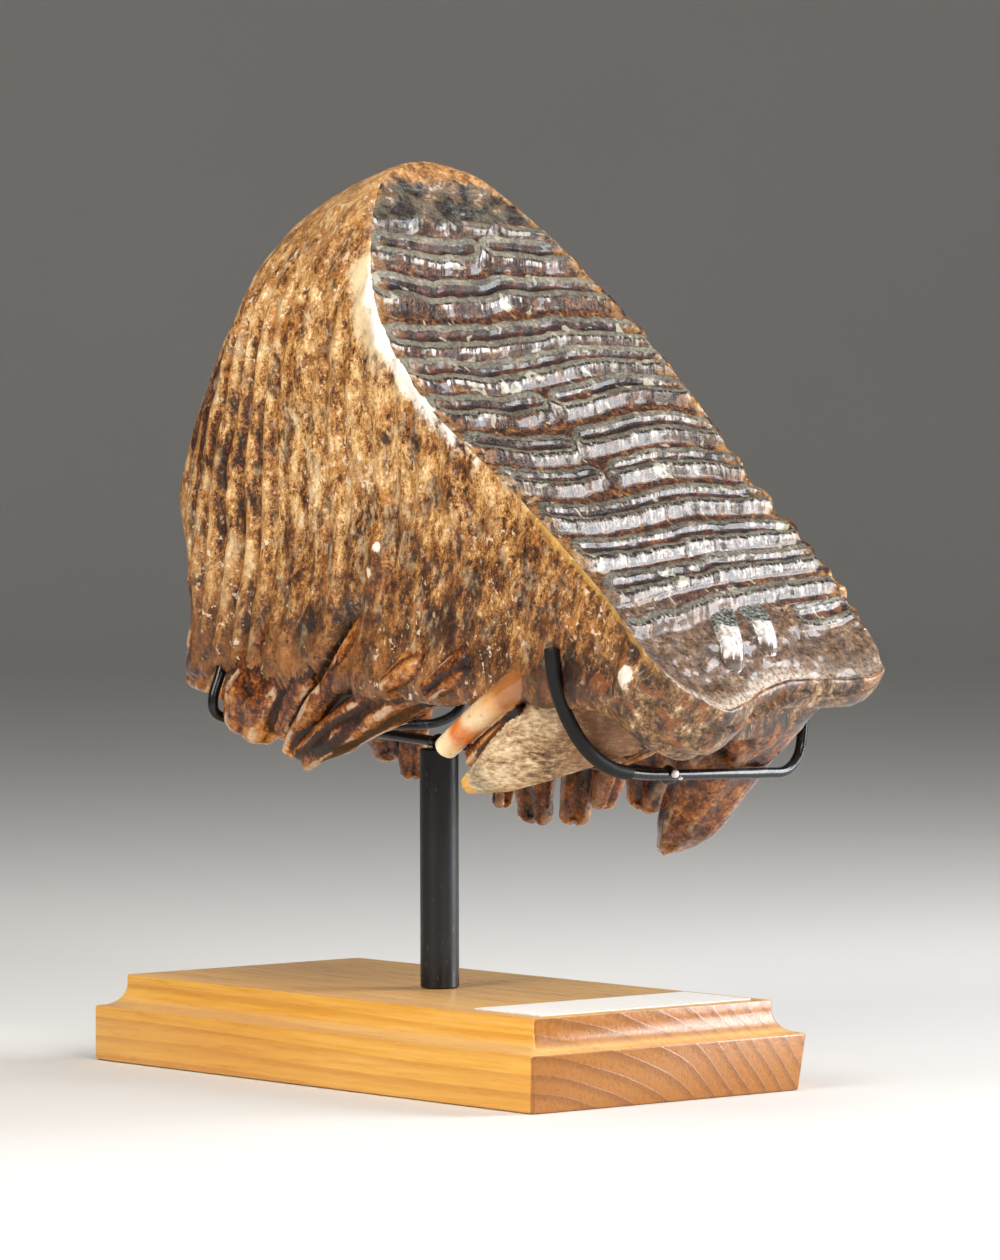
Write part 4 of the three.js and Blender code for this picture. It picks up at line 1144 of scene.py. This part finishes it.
def chewing_skin():
    """The worn face: grey-green enamel bands with dark chipped edges and pale flanks, their paleness partly the
    enamel's own and partly a painted highlight, painted highlight lines, and brown between them.
    """
    s = Shader("chewing_face", coat_weight=0.35, coat_roughness=0.05, specular_ior_level=0.35)
    x, y = s.axis("X"), s.axis("Y")
    loop, across, lip = s.value("loop"), s.value("across"), s.value("lip")
    fine = s.noise(0.0011, 4, 0.7)
    small = s.noise(0.003, 4, 0.6)
    broad = s.noise(0.011, 4, 0.6)
    d = s.add(loop, s.sway(small, 1.1), s.sway(fine, 0.7))
    front = s.ramp(across, -0.6, 0.6)
    back = s.ramp(across, 0.6, -0.6)
    wide = s.ramp(s.add(x, s.sway(broad, 0.06)), 0.02, 0.09, 0.25, 1.0)
    outer_d = s.add(d, s.times(front, wide))
    inner_d = s.add(d, s.times(back, wide, -0.7))
    folds = s.noise(0.0013, 2, 0.6, 0, s.join(y, s.times(x, 0.12), 0.0))
    teeth = s.noise(0.0010, 1, 0.5, 0, s.join(y, s.times(x, 0.35), 0.0))
    enamel = s.stops(s.add(s.times(broad, 0.5), s.times(fine, 0.5)),
                     [(0.3, "34302a"), (0.45, "625c4f"), (0.57, "8b8473"), (0.72, "bdb6a0")])
    dentine = s.stops(s.add(s.times(small, 0.6), s.times(broad, 0.4)),
                      [(0.36, "090302"), (0.47, "200d06"), (0.56, "47200d"), (0.68, "7e4a20")])
    valley = s.stops(s.add(s.times(small, 0.5), s.times(fine, 0.5)),
                     [(0.36, "120704"), (0.46, "2e160a"), (0.55, "62381a"), (0.66, "ab7c44")])
    # The flanks' pale colour is partly the enamel's own and partly a painted highlight.
    flank = s.stops(s.add(s.times(folds, 0.34), s.times(fine, 0.33), s.times(small, 0.33)),
                    [(0.42, "1a110b"), (0.48, "4f4237"), (0.54, "988c7f"), (0.61, "e4ded6")])
    fallen = s.times(s.ramp(s.add(d, s.sway(small, 1.5)), 1.9, 2.9), s.ramp(x, 0.11, 0.075), 0.75)
    flank = s.mix(fallen, flank, s.mix(fine, "24160d", "5b3d26"))
    # How much painted highlight the flanks get: more towards the front and the far side.
    flank_highlight = s.ramp(s.add(x, s.times(y, 0.6), s.sway(broad, 0.2)), 0.025, 0.085, 0.0, 1.0)
    base = s.mix(s.ramp(d, 0.0, 0.3), dentine, valley)
    outer = s.times(front, s.ramp(outer_d, 1.0, 1.3), s.ramp(d, 3.7, 2.9), flank_highlight)
    base = s.mix(outer, base, flank)
    # Painted highlight: a thin pale line on the inner flank of each loop.
    inner = s.times(back, s.ramp(inner_d, -1.15, -1.25), s.ramp(d, -1.95, -1.65), s.ramp(broad, 0.4, 0.5),
                    flank_highlight)
    base = s.mix(inner, base, flank)
    band = s.times(s.ramp(inner_d, -1.4, -1.15), s.ramp(outer_d, 1.3, 1.05))
    base = s.mix(band, base, s.mix(s.times(wide, s.ramp(fine, 0.3, 0.6, 0.75, 0.3)), enamel, "2f2a24"))
    arris = s.times(front, s.ramp(outer_d, 0.85, 1.05), s.ramp(outer_d, 2.2, 1.5), s.ramp(teeth, 0.42, 0.54))
    base = s.mix(s.times(arris, s.ramp(broad, 0.36, 0.48, 0.35, 1.0)), base, "12100f")
    # Painted highlight: a broken pale line below the chipped edge, where the flanks get little painted
    # highlight.
    glint = s.times(front, s.ramp(outer_d, 1.5, 1.8), s.ramp(outer_d, 2.9, 2.3), s.ramp(flank_highlight, 0.7, 0.2))
    glint = s.times(glint, s.ramp(s.add(s.times(folds, 0.4), s.times(broad, 0.8)), 0.58, 0.66))
    base = s.paint(base, "dedbd5", glint, 0.9)
    ochre = s.times(s.ramp(lip, 8.0, 1.0), s.ramp(s.math("ABSOLUTE", d), 1.0, 1.6), s.ramp(small, 0.4, 0.55))
    base = s.mix(s.times(ochre, 0.75), base, s.mix(fine, "7a4a1e", "c39352"))
    patches = s.ramp(s.noise(0.0055, 2, 0.5, 0.8), 0.64, 0.69)
    base = s.paint(base, "b5b199", patches, 0.75)
    z = s.add(s.axis("Z"), s.sway(small, 0.006))
    messy = s.math("MAXIMUM", s.times(s.ramp(x, 0.020, 0.0), s.ramp(broad, 0.42, 0.52), 0.75),
                   s.ramp(z, 0.238, 0.245))
    messy = s.times(messy, s.ramp(lip, 0.5, 3.0))
    grit = s.stops(s.add(s.times(s.noise(0.007, 4, 0.6, 0.5), 0.8), s.times(fine, 0.22), -0.02),
                   [(0.36, "100c0a"), (0.46, "2c2620"), (0.53, "5a5346"), (0.58, "6d4a2a"), (0.68, "c4bcab")])
    base = s.mix(s.times(messy, 0.9), base, grit)
    dish = s.times(s.ramp(x, 0.119, 0.127), s.ramp(loop, 0.6, 1.6))
    gloom = s.stops(s.add(s.times(small, 0.45), s.times(fine, 0.4), s.times(broad, 0.25), -0.05),
                    [(0.34, "180e09"), (0.46, "46301f"), (0.56, "785b42"), (0.68, "bda88f")])
    base = s.mix(dish, base, gloom)
    edge = s.ramp(s.add(s.value("front"), s.sway(small, 9.0)), 4.5, 0.5)
    edge = s.times(edge, s.ramp(y, 0.03, 0.0, 0.25, 1.0), s.ramp(fine, 0.3, 0.6, 0.3, 1.0))
    base = s.mix(s.times(edge, 0.8), base, s.mix(fine, "a98a66", "f4ece0"))
    top = s.add(s.axis("Z"), s.ramp(y, 0.008, 0.03, 0.0, 0.006), s.sway(small, 0.006))
    crust = s.stops(s.add(s.times(small, 0.5), s.times(fine, 0.5)),
                    [(0.36, "54321a"), (0.48, "96683a"), (0.58, "c08f58"), (0.7, "ddb984")])
    base = s.mix(s.ramp(top, 0.2535, 0.2565), base, crust)
    s.bump(s.times(folds, s.ramp(s.math("ABSOLUTE", s.add(d, -2.2)), 2.2, 1.0)), 0.001, 0.45)
    s.bump(small, 0.0008, 0.5)
    s.bump(fine, 0.0006, 0.6)
    return s.finish(base, s.ramp(s.add(fine, s.times(band, -0.3)), 0.3, 0.65, 0.16, 0.42))


def root_skin():
    """Glossy brown roots with painted shade in their slits and towards the bottom, and painted highlights along
    the ridges and towards the tips.
    """
    s = Shader("root", coat_weight=0.35, coat_roughness=0.06, specular_ior_level=0.3)
    y, z = s.axis("Y"), s.axis("Z")
    fine = s.noise(0.0014, 4, 0.75)
    middle = s.noise(0.005, 4, 0.65, 0.3)
    large = s.noise(0.018, 3, 0.5)
    pit = s.value("pit")
    # Painted shade: darker in the slits, lighter between them.
    tone = s.add(s.times(middle, 0.45), s.times(large, 0.35), s.times(fine, 0.5),
                 s.ramp(pit, 0.9, 0.0, -0.06, 0.03),
                 -0.155)
    along = s.value("along")
    # A painted highlight towards the tips and painted shade towards the bottom; the far side is darker.
    tone = s.add(tone, s.times(s.ramp(along, 0.55, 1.0), 0.06), s.ramp(z, 0.110, 0.135, 0.0, 0.07),
                 s.ramp(y, -0.01, 0.015, 0.0, -0.05))
    base = s.stops(tone,
                   [(0.35, "140803"), (0.43, "3d1c08"), (0.50, "753c13"), (0.57, "a5662b"), (0.66, "cb9455"),
                          (0.76, "ecca96")])
    red = s.times(s.ramp(s.noise(0.010, 3, 0.5, 0.4), 0.54, 0.66), 0.3)
    base = s.mix(red, base, s.mix(fine, "3f1807", "8a4a1f"))
    # Painted shade in the slits.
    base = s.mix(s.times(s.ramp(pit, 0.7, 1.8), 0.72), base, "1c0c04")
    # Painted highlight along the ridge crests, stronger on the near side.
    crest_highlight = s.times(s.ramp(s.value("rib"), 0.25, 0.5), s.ramp(s.noise(0.007, 3, 0.6, 0.3), 0.46, 0.56),
                    s.ramp(pit, 0.5, 0.1))
    base = s.mix(s.times(crest_highlight, s.ramp(y, 0.0, -0.02, 0.35, 0.8)), base, s.mix(fine, "9c6a3c", "f0dcc0"))
    s.bump(middle, 0.0008, 0.4)
    s.bump(fine, 0.0004, 0.5)
    return s.finish(base, s.add(s.ramp(middle, 0.35, 0.65, 0.14, 0.34), s.ramp(pit, 0.5, 1.5, 0.0, 0.35)))


def peg_skin():
    """The polished cream and orange peg."""
    s = Shader("peg", coat_weight=0.8, coat_roughness=0.06, specular_ior_level=0.6)
    along = s.value("along")
    broad = s.noise(0.009, 3, 0.5)
    fine = s.noise(0.0016, 3, 0.6)
    base = s.stops(s.add(along, s.sway(broad, 0.35)),
                   [(0.0, "7a451c"), (0.34, "a8672f"), (0.46, "d8a468"), (0.58, "edcda4"), (0.68, "d98238"),
                    (0.74, "d76a14"), (0.81, "eecb95"), (0.9, "f5e4ba")])
    base = s.mix(s.ramp(fine, 0.58, 0.68, 0.0, 0.5), base, "8a4d1d")
    s.bump(fine, 0.0003, 0.4)
    return s.finish(base, s.ramp(broad, 0.3, 0.7, 0.12, 0.28))


def wedge_skin():
    """The pale root that lies across the front: fine ripples, grey blotches, a yellow tip, and painted light
    towards its upper edge with painted shade towards its lower side.
    """
    s = Shader("wedge", coat_weight=0.15, coat_roughness=0.25, specular_ior_level=0.45)
    along = s.value("along")
    fine = s.noise(0.0014, 4, 0.7)
    broad = s.noise(0.012, 4, 0.6, 0.4)
    ripples = s.noise(0.0009, 2, 0.6, 0.3, s.stretch((0.35, 0.35, 1.0)))
    # Painted light: lighter towards the upper edge, darker towards the lower side.
    rise = s.ramp(s.add(s.axis("Z"), s.times(s.axis("X"), -1.0)), -0.008, 0.018, -0.07, 0.09)
    base = s.stops(s.add(s.times(broad, 0.5), s.times(ripples, 0.45), s.times(fine, 0.3), rise, -0.13),
                   [(0.34, "2a190c"), (0.43, "775535"), (0.51, "a98862"), (0.60, "d0b68f"), (0.72, "efdfc2")])
    pink = s.times(s.ramp(along, 0.45, 0.2), s.ramp(fine, 0.35, 0.6, 0.9, 0.5))
    base = s.mix(pink, base, s.mix(broad, "6f4226", "a87550"))
    grey = s.times(s.ramp(fine, 0.42, 0.56), s.ramp(along, 0.66, 0.76), s.ramp(along, 0.84, 0.79))
    base = s.paint(base, "666858", grey, 0.7)
    base = s.mix(s.ramp(s.add(along, s.sway(fine, 0.12)), 0.81, 0.86), base, "e0a94c")
    spots = s.ramp(s.cells(0.012), 0.16, 0.12)
    base = s.paint(base, "dccba8", spots, 0.6)
    s.bump(ripples, 0.0009, 0.7)
    s.bump(fine, 0.0005, 0.4)
    return s.finish(base, s.ramp(fine, 0.3, 0.7, 0.35, 0.6))


def finger_skin():
    """A lone finger of enamel: a slate worn cap, then a white polished body with painted shade on the sides
    that face away from the worn top.
    """
    s = Shader("finger", coat_weight=0.7, coat_roughness=0.06, specular_ior_level=0.65)
    along = s.value("along")
    fine = s.noise(0.0011, 3, 0.6)
    folds = s.noise(0.0012, 2, 0.6, 0, s.stretch((0.2, 1, 0.2)))
    body = s.stops(s.add(s.times(folds, 0.6), s.times(fine, 0.4)),
                   [(0.34, "5c5048"), (0.42, "aaa096"), (0.52, "e6e1db")])
    slate = s.stops(fine, [(0.38, "23211f"), (0.52, "5f615a"), (0.66, "9d9f92")])
    # Painted shade: the sides that face away from the worn top are painted brown.
    painted_lit_side = s.ramp(s.add(s.value("across"), s.sway(fine, 0.2)), 0.5, 0.8)
    body = s.mix(painted_lit_side, s.mix(fine, "35231a", "7c6a5c"), body)
    base = s.mix(s.ramp(s.add(along, s.sway(fine, 0.1)), 0.30, 0.36), slate, body)
    base = s.mix(s.ramp(s.add(along, s.sway(fine, 0.3)), 0.6, 0.9), base,
                 s.mix(fine, "4b3a31", "8d7768"))
    s.bump(folds, 0.0006, 0.6)
    return s.finish(base, 0.16)


def wood_skin():
    """Stained pine, as a solid: the rings run along X, so the ends show end grain."""
    s = Shader("timber", coat_weight=0.25, coat_roughness=0.2)
    x, y, z = s.axis("X"), s.axis("Y"), s.axis("Z")
    drift = s.times(s.add(s.noise(0.09, 2, 0.5, 0, s.stretch((0.25, 1, 1))), -0.5), 0.018)
    dy = s.add(y, 0.055, drift)
    dz = s.add(z, 0.07, s.times(drift, 0.6))
    radius = s.math("SQRT", s.add(s.times(dy, dy), s.times(dz, dz)))
    ring = s.math("FRACT", s.times(radius, 1 / 0.0052))
    late = s.times(s.ramp(ring, 0.45, 0.9), s.ramp(ring, 1.0, 0.93))
    fibre = s.noise(0.0011, 3, 0.6, 0, s.stretch((0.04, 1, 1)))
    broad = s.noise(0.05, 3, 0.5, 0, s.stretch((0.4, 1, 1)))
    base = s.stops(s.add(s.times(fibre, 0.5), s.times(broad, 0.5)),
                   [(0.3, "cf8d31"), (0.5, "e2a541"), (0.7, "f0bf62")])
    base = s.paint(base, "b8721f", late, 0.4)
    normal = s.nodes.new("ShaderNodeNewGeometry").outputs["Normal"]
    end = s.ramp(s.math("ABSOLUTE", s.axis("X", normal)), 0.4, 0.7)
    grain = s.mix(s.times(late, 0.55), "96561c", "5a2d0b")
    pores = s.noise(0.0008, 2, 0.5)
    grain = s.mix(s.ramp(pores, 0.55, 0.7, 0.0, 0.5), grain, "a86a30")
    base = s.mix(s.times(end, 0.85), base, grain)
    # Painted light: the faces that look up are painted paler.
    top = s.ramp(s.axis("Z", normal), 0.5, 0.9)
    base = s.paint(base, "d9b68c", top, 0.45)
    s.bump(fibre, 0.0002, 0.5)
    s.bump(late, 0.0002, 0.3)
    return s.finish(base, s.ramp(fibre, 0.3, 0.7, 0.25, 0.42))


def steel_skin(name, roughness, scratch):
    """Black enamelled steel with fine scratches and dust."""
    s = Shader(name, metallic=0.0, coat_weight=0.25, coat_roughness=0.1, specular_ior_level=0.35)
    fine = s.noise(0.0007, 3, 0.6)
    patchy = s.noise(0.004, 4, 0.7, 0.4)
    lines = s.noise(0.0006, 2, 0.5, 0.2, s.stretch((1, 1, 0.12)))
    base = s.mix(s.ramp(patchy, 0.5, 0.75, 0.0, 0.5), "060607", "151517")
    base = s.mix(s.times(s.ramp(lines, 0.70, 0.76), scratch), base, "7d7d82")
    s.bump(fine, 0.0001, 0.4)
    return s.finish(base, s.ramp(patchy, 0.3, 0.7, roughness, roughness + 0.16))


def rubber_skin():
    s = Shader("rubber", specular_ior_level=0.3)
    fine = s.noise(0.0009, 3, 0.6)
    patchy = s.noise(0.005, 3, 0.6)
    base = s.mix(s.ramp(patchy, 0.4, 0.7), "060607", "101012")
    s.bump(fine, 0.00015, 0.4)
    return s.finish(base, s.ramp(patchy, 0.3, 0.7, 0.45, 0.6))


def card_skin():
    s = Shader("card", specular_ior_level=0.3)
    fibre = s.noise(0.0006, 3, 0.6)
    base = s.mix(s.ramp(fibre, 0.3, 0.7), "e3e1dc", "f2f0ec")
    s.bump(fibre, 0.00005, 0.4)
    return s.finish(base, 0.62)


def glue_skin():
    s = Shader("glue", coat_weight=0.4, coat_roughness=0.15)
    fine = s.noise(0.0008, 3, 0.6)
    base = s.mix(fine, "b9b3a8", "f4f1ea")
    s.bump(fine, 0.0002, 0.5)
    return s.finish(base, 0.35)


def make_base():
    """The moulded board: its side profile carried round a rectangle with eased corners."""
    length, width, height = BASE["length"], BASE["width"], BASE["height"]
    arris, band, fillet, inset = BASE["arris"], BASE["band"], BASE["fillet"], BASE["inset"]
    profile = []
    for t in np.linspace(0, np.pi / 2, 5):
        profile.append((arris * (1 - math.sin(t)), arris * (1 - math.cos(t))))
    for t in np.linspace(0, np.pi / 2, 5):
        profile.append((arris * (1 - math.cos(t)), band - arris * (1 - math.sin(t))))
    cove_top = height - fillet
    for t in np.linspace(np.pi / 2, 0, 17)[1:]:
        profile.append((arris + (inset - arris) * math.cos(t), cove_top - (cove_top - band) * math.sin(t)))
    top_ease = BASE["top_ease"]
    profile.append((inset, height - top_ease))
    profile.append((inset + top_ease * 0.3, height - top_ease * 0.3))
    profile.append((inset + top_ease, height))
    grid = np.array([[(x, y, z) for x, y in rounded(length / 2 - inward, width / 2 - inward, BASE["corner"])]
                     for inward, z in profile])
    chipped = ((length / 2, -width / 2), (length / 2, width / 2))
    for cx, cy in chipped:
        far = np.hypot(grid[..., 0] - cx, grid[..., 1] - cy)
        chip = 1.6 * smooth(far, 3.5, 0) * smooth(grid[..., 2], 6, 0)
        grid[..., 0] -= np.sign(cx) * chip
        grid[..., 1] -= np.sign(cy) * chip
    points = [tuple(p) for p in grid.reshape(-1, 3) * MM]
    rings, sides = grid.shape[:2]
    faces = bridge(rings, sides)
    faces.append(tuple(range(sides - 1, -1, -1)))
    faces.append(tuple((rings - 1) * sides + k for k in range(sides)))
    piece = add_object("base_board", outward(mesh_of("base_board", points, faces)))
    shade_by_angle(piece, 28)
    return piece


def shade_by_angle(piece, degrees):
    """Smooth faces, with sharp edges where the surface turns by more than that."""
    mesh = piece.data
    mesh.polygons.foreach_set("use_smooth", [True] * len(mesh.polygons))
    mesh.set_sharp_from_angle(angle=math.radians(degrees))


def make_label():
    """A white card with eased corners."""
    w, l, t = LABEL["width"] / 2, LABEL["length"] / 2, LABEL["thickness"]
    outline_points = [(LABEL["x"] + x, LABEL["y"] + y) for x, y in rounded(w, l, LABEL["corner"])]
    z = BASE["height"] + LABEL["lift"]
    count = len(outline_points)
    points = [(px * MM, py * MM, z * MM) for px, py in outline_points]
    points += [(px * MM, py * MM, (z + t) * MM) for px, py in outline_points]
    faces = [tuple(range(count - 1, -1, -1)), tuple(range(count, 2 * count))]
    faces += [(k, (k + 1) % count, (k + 1) % count + count, k + count) for k in range(count)]
    return add_object("label_card", outward(mesh_of("label_card", points, faces)))


def spine_height(x):
    (x0, z0), (x1, z1) = SPINE["rear"], SPINE["front"]
    return z0 + (z1 - z0) * (x - x0) / (x1 - x0)


def make_post():
    top = spine_height(POST["x"]) - ROD_RADIUS - GAP
    line = [(POST["x"], POST["y"], z) for z in np.linspace(BASE["height"] + 0.05, top, 12)]
    piece = add_object("post_tube",
                       outward(tube_form(line, POST["radius"], 48, chamfer=0.5).mesh("post_tube")))
    shade_by_angle(piece, 30)
    return piece


def make_rod(name, points, share=1.0, radius=ROD_RADIUS, hollow=0.0, count=ROD_POINTS):
    line = catmull_spaced(points, count, share)
    piece = add_object(name, outward(tube_form(line, radius, 20, hollow).mesh(name)))
    shade_by_angle(piece, 40)
    return piece


def lumpy_ball(middle, radius, seed, roughness=0.22, squash=(1, 1, 1)):
    """A small lump of weld or glue, as points and faces in metres."""
    rows, sides = 9, 14
    points = [np.array([0, 0, 1.0])]
    for r in range(1, rows):
        a = math.pi * r / rows
        points += [np.array([math.sin(a) * math.cos(t), math.sin(a) * math.sin(t), math.cos(a)])
                   for t in np.linspace(0, 2 * math.pi, sides, endpoint=False)]
    points.append(np.array([0, 0, -1.0]))
    points = np.array(points)
    swell = 1 + roughness * lumps(points * 10, 6, seed) + roughness * 0.5 * lumps(points * 10, 3, seed + 1)
    points = (points * swell[:, None] * radius * np.array(squash) + np.array(middle)) * MM
    faces = [(0, 1 + k, 1 + (k + 1) % sides) for k in range(sides)]
    for r in range(rows - 2):
        for k in range(sides):
            a, b = 1 + r * sides + k, 1 + r * sides + (k + 1) % sides
            faces.append((a, a + sides, b + sides, b))
    last = len(points) - 1
    faces += [(last, 1 + (rows - 2) * sides + (k + 1) % sides,
               1 + (rows - 2) * sides + k) for k in range(sides)]
    return points, faces


def make_lumps(name, lumps_list):
    points, faces = [], []
    for number, (middle, radius, squash) in enumerate(lumps_list):
        more, sides = lumpy_ball(middle, radius, number + 3, squash=squash)
        faces += [tuple(i + len(points) for i in face) for face in sides]
        points += [tuple(p) for p in more]
    mesh = mesh_of(name, points, faces)
    mesh.polygons.foreach_set("use_smooth", [True] * len(mesh.polygons))
    return add_object(name, mesh)


def make_spine():
    """The straight bar under the roots, which stops short of both arms."""
    x0, x1 = SPINE["rear"][0], SPINE["front"][0]
    room = 2 * ROD_RADIUS + GAP
    line = [(x, SPINE["y"], spine_height(x)) for x in np.linspace(x0 + room, x1 - room, 40)]
    return add_object("spine_rod", outward(tube_form(line, ROD_RADIUS, 20).mesh("spine_rod")))


def make_floor():
    """A pale floor that curves up all round into a wall, so that no edge of it shows."""
    outline_points = [(0.0, 0.0), (FLOOR["flat"], 0.0)]
    for t in np.radians(np.linspace(0, 90, 13)[1:]):
        outline_points.append((FLOOR["flat"] + FLOOR["curve"] * math.sin(t),
                               FLOOR["curve"] * (1 - math.cos(t))))
    outline_points.append((FLOOR["flat"] + FLOOR["curve"], FLOOR["wall"]))
    turn = np.linspace(0, 2 * math.pi, FLOOR["sides"], endpoint=False)
    points = [(r * math.cos(a), r * math.sin(a), z) for r, z in outline_points[1:] for a in turn]
    count = FLOOR["sides"]
    faces = [tuple(range(count))]
    for row in range(len(outline_points) - 2):
        for k in range(count):
            a, b = row * count + k, row * count + (k + 1) % count
            faces.append((b, a, a + count, b + count))
    mesh = mesh_of("floor", points, faces)
    mesh.polygons.foreach_set("use_smooth", [True] * len(mesh.polygons))
    floor = add_object("floor", mesh)
    floor.location.z = FLOOR["drop"]
    s = Shader("floor_finish")
    soft = s.noise(0.4, 2, 0.5)
    floor.data.materials.append(s.finish(s.mix(soft, "d8d6d2", "dedcd8"), 0.75))


def add_camera():
    yaw, pitch, roll = (math.radians(CAMERA[k]) for k in ("yaw", "pitch", "roll"))
    ahead = Vector((math.sin(yaw) * math.cos(pitch), math.cos(yaw) * math.cos(pitch), math.sin(pitch)))
    right = Vector((math.cos(yaw), -math.sin(yaw), 0))
    up = right.cross(ahead)
    right, up = right * math.cos(roll) + up * math.sin(roll), up * math.cos(roll) - right * math.sin(roll)
    data = bpy.data.cameras.new("camera")
    data.sensor_width = 36
    data.lens = CAMERA["focal"] / IMAGE_LONG_SIDE * data.sensor_width
    data.clip_end = 100
    camera = bpy.data.objects.new("camera", data)
    bpy.context.scene.collection.objects.link(camera)
    turn = Matrix((right, up, -ahead)).transposed()
    camera.matrix_world = Matrix.Translation(CAMERA["place"]) @ turn.to_4x4()
    bpy.context.scene.camera = camera
    return ahead, right


def add_light(name, place_at, target, size, power, warmth="ffffff"):
    data = bpy.data.lights.new(name, "AREA")
    data.shape = "RECTANGLE"
    data.size, data.size_y = size
    data.energy = power
    data.color = colour(warmth)[:3]
    light = bpy.data.objects.new(name, data)
    bpy.context.scene.collection.objects.link(light)
    light.location = place_at
    light.rotation_euler = (Vector(target) - Vector(place_at)).to_track_quat("-Z", "Y").to_euler()
    light.visible_camera = False


def add_lights(ahead, right):
    middle = Vector((0.02, 0, 0.15))
    up = Vector((0, 0, 1))
    add_light("left_box", middle - right * 0.7 - ahead * 0.75 + up * 0.55, middle, (0.5, 0.6), 11, "fff8ee")
    add_light("strip_box", middle + right * 0.45 - ahead * 0.9 + up * 0.35, middle, (0.12, 0.5), 5, "ffffff")
    add_light("right_box", middle + right * 1.0 + ahead * 0.1 + up * 0.30, middle, (0.45, 0.8), 18, "f7faff")
    add_light("top_box", middle + up * 1.2 - ahead * 0.2, middle, (1.0, 1.0), 7, "ffffff")
    world = bpy.data.worlds.new("studio")
    world.use_nodes = True
    background = world.node_tree.nodes["Background"]
    background.inputs["Color"].default_value = colour("e6e6e8")
    background.inputs["Strength"].default_value = 0.2
    bpy.context.scene.world = world
    bpy.context.scene.view_settings.view_transform = "Standard"


def dress(piece, node, slot, *materials):
    for material in materials:
        piece.data.materials.append(material)
    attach(piece, "root")
    if node:
        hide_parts(node)


def build():
    ahead, right = add_camera()
    add_lights(ahead, right)
    make_floor()
    tooth = make_tooth()
    dress(tooth, "molar", "fossil", cementum_skin(), chewing_skin(), root_skin(), peg_skin(), wedge_skin(),
          finger_skin())
    dress(make_base(), "base", "timber", wood_skin())
    dress(make_label(), "label", "paper", card_skin())
    satin = steel_skin("satin_black", 0.34, 0.5)
    gloss = steel_skin("gloss_black", 0.2, 0.25)
    dress(make_post(), "post", "black_steel", satin)
    dress(make_spine(), "spine_bar", "black_steel", satin)
    dress(make_rod("front_rod", FRONT_ARM), "front_arm", "black_steel", gloss)
    dress(make_rod("rear_rod", REAR_ARM), "rear_arm", "black_steel", gloss)
    sleeve = make_rod("front_sleeve", FRONT_ARM, SLEEVE["share"], SLEEVE["outer"], SLEEVE["inner"], 50)
    dress(sleeve, "front_arm_sleeve", "black_sleeve", rubber_skin())
    beads = make_lumps("weld_beads", [
        ((SPINE["rear"][0] + ROD_RADIUS, SPINE["y"], spine_height(SPINE["rear"][0])), 2.5, (1, 1, 1)),
        ((SPINE["front"][0] - ROD_RADIUS, SPINE["y"], spine_height(SPINE["front"][0])), 2.5, (1, 1, 1)),
        ((POST["x"], POST["y"], spine_height(POST["x"])), 2.6, (1.2, 1, 0.9))])
    dress(beads, None, "black_steel", satin)
    flecks = make_lumps("glue_flecks", [
        ((105.6, -3.4, 90.4), 1.1, (0.6, 1.2, 1)), ((104.9, -1.0, 89.2), 0.7, (1, 1, 0.7)),
        ((-50, -39.9, 118.6), 1.6, (1, 1, 0.7)), ((-50.6, -43.9, 108.4), 0.8, (1, 1, 1))])
    dress(flecks, None, "black_steel", glue_skin())


build()
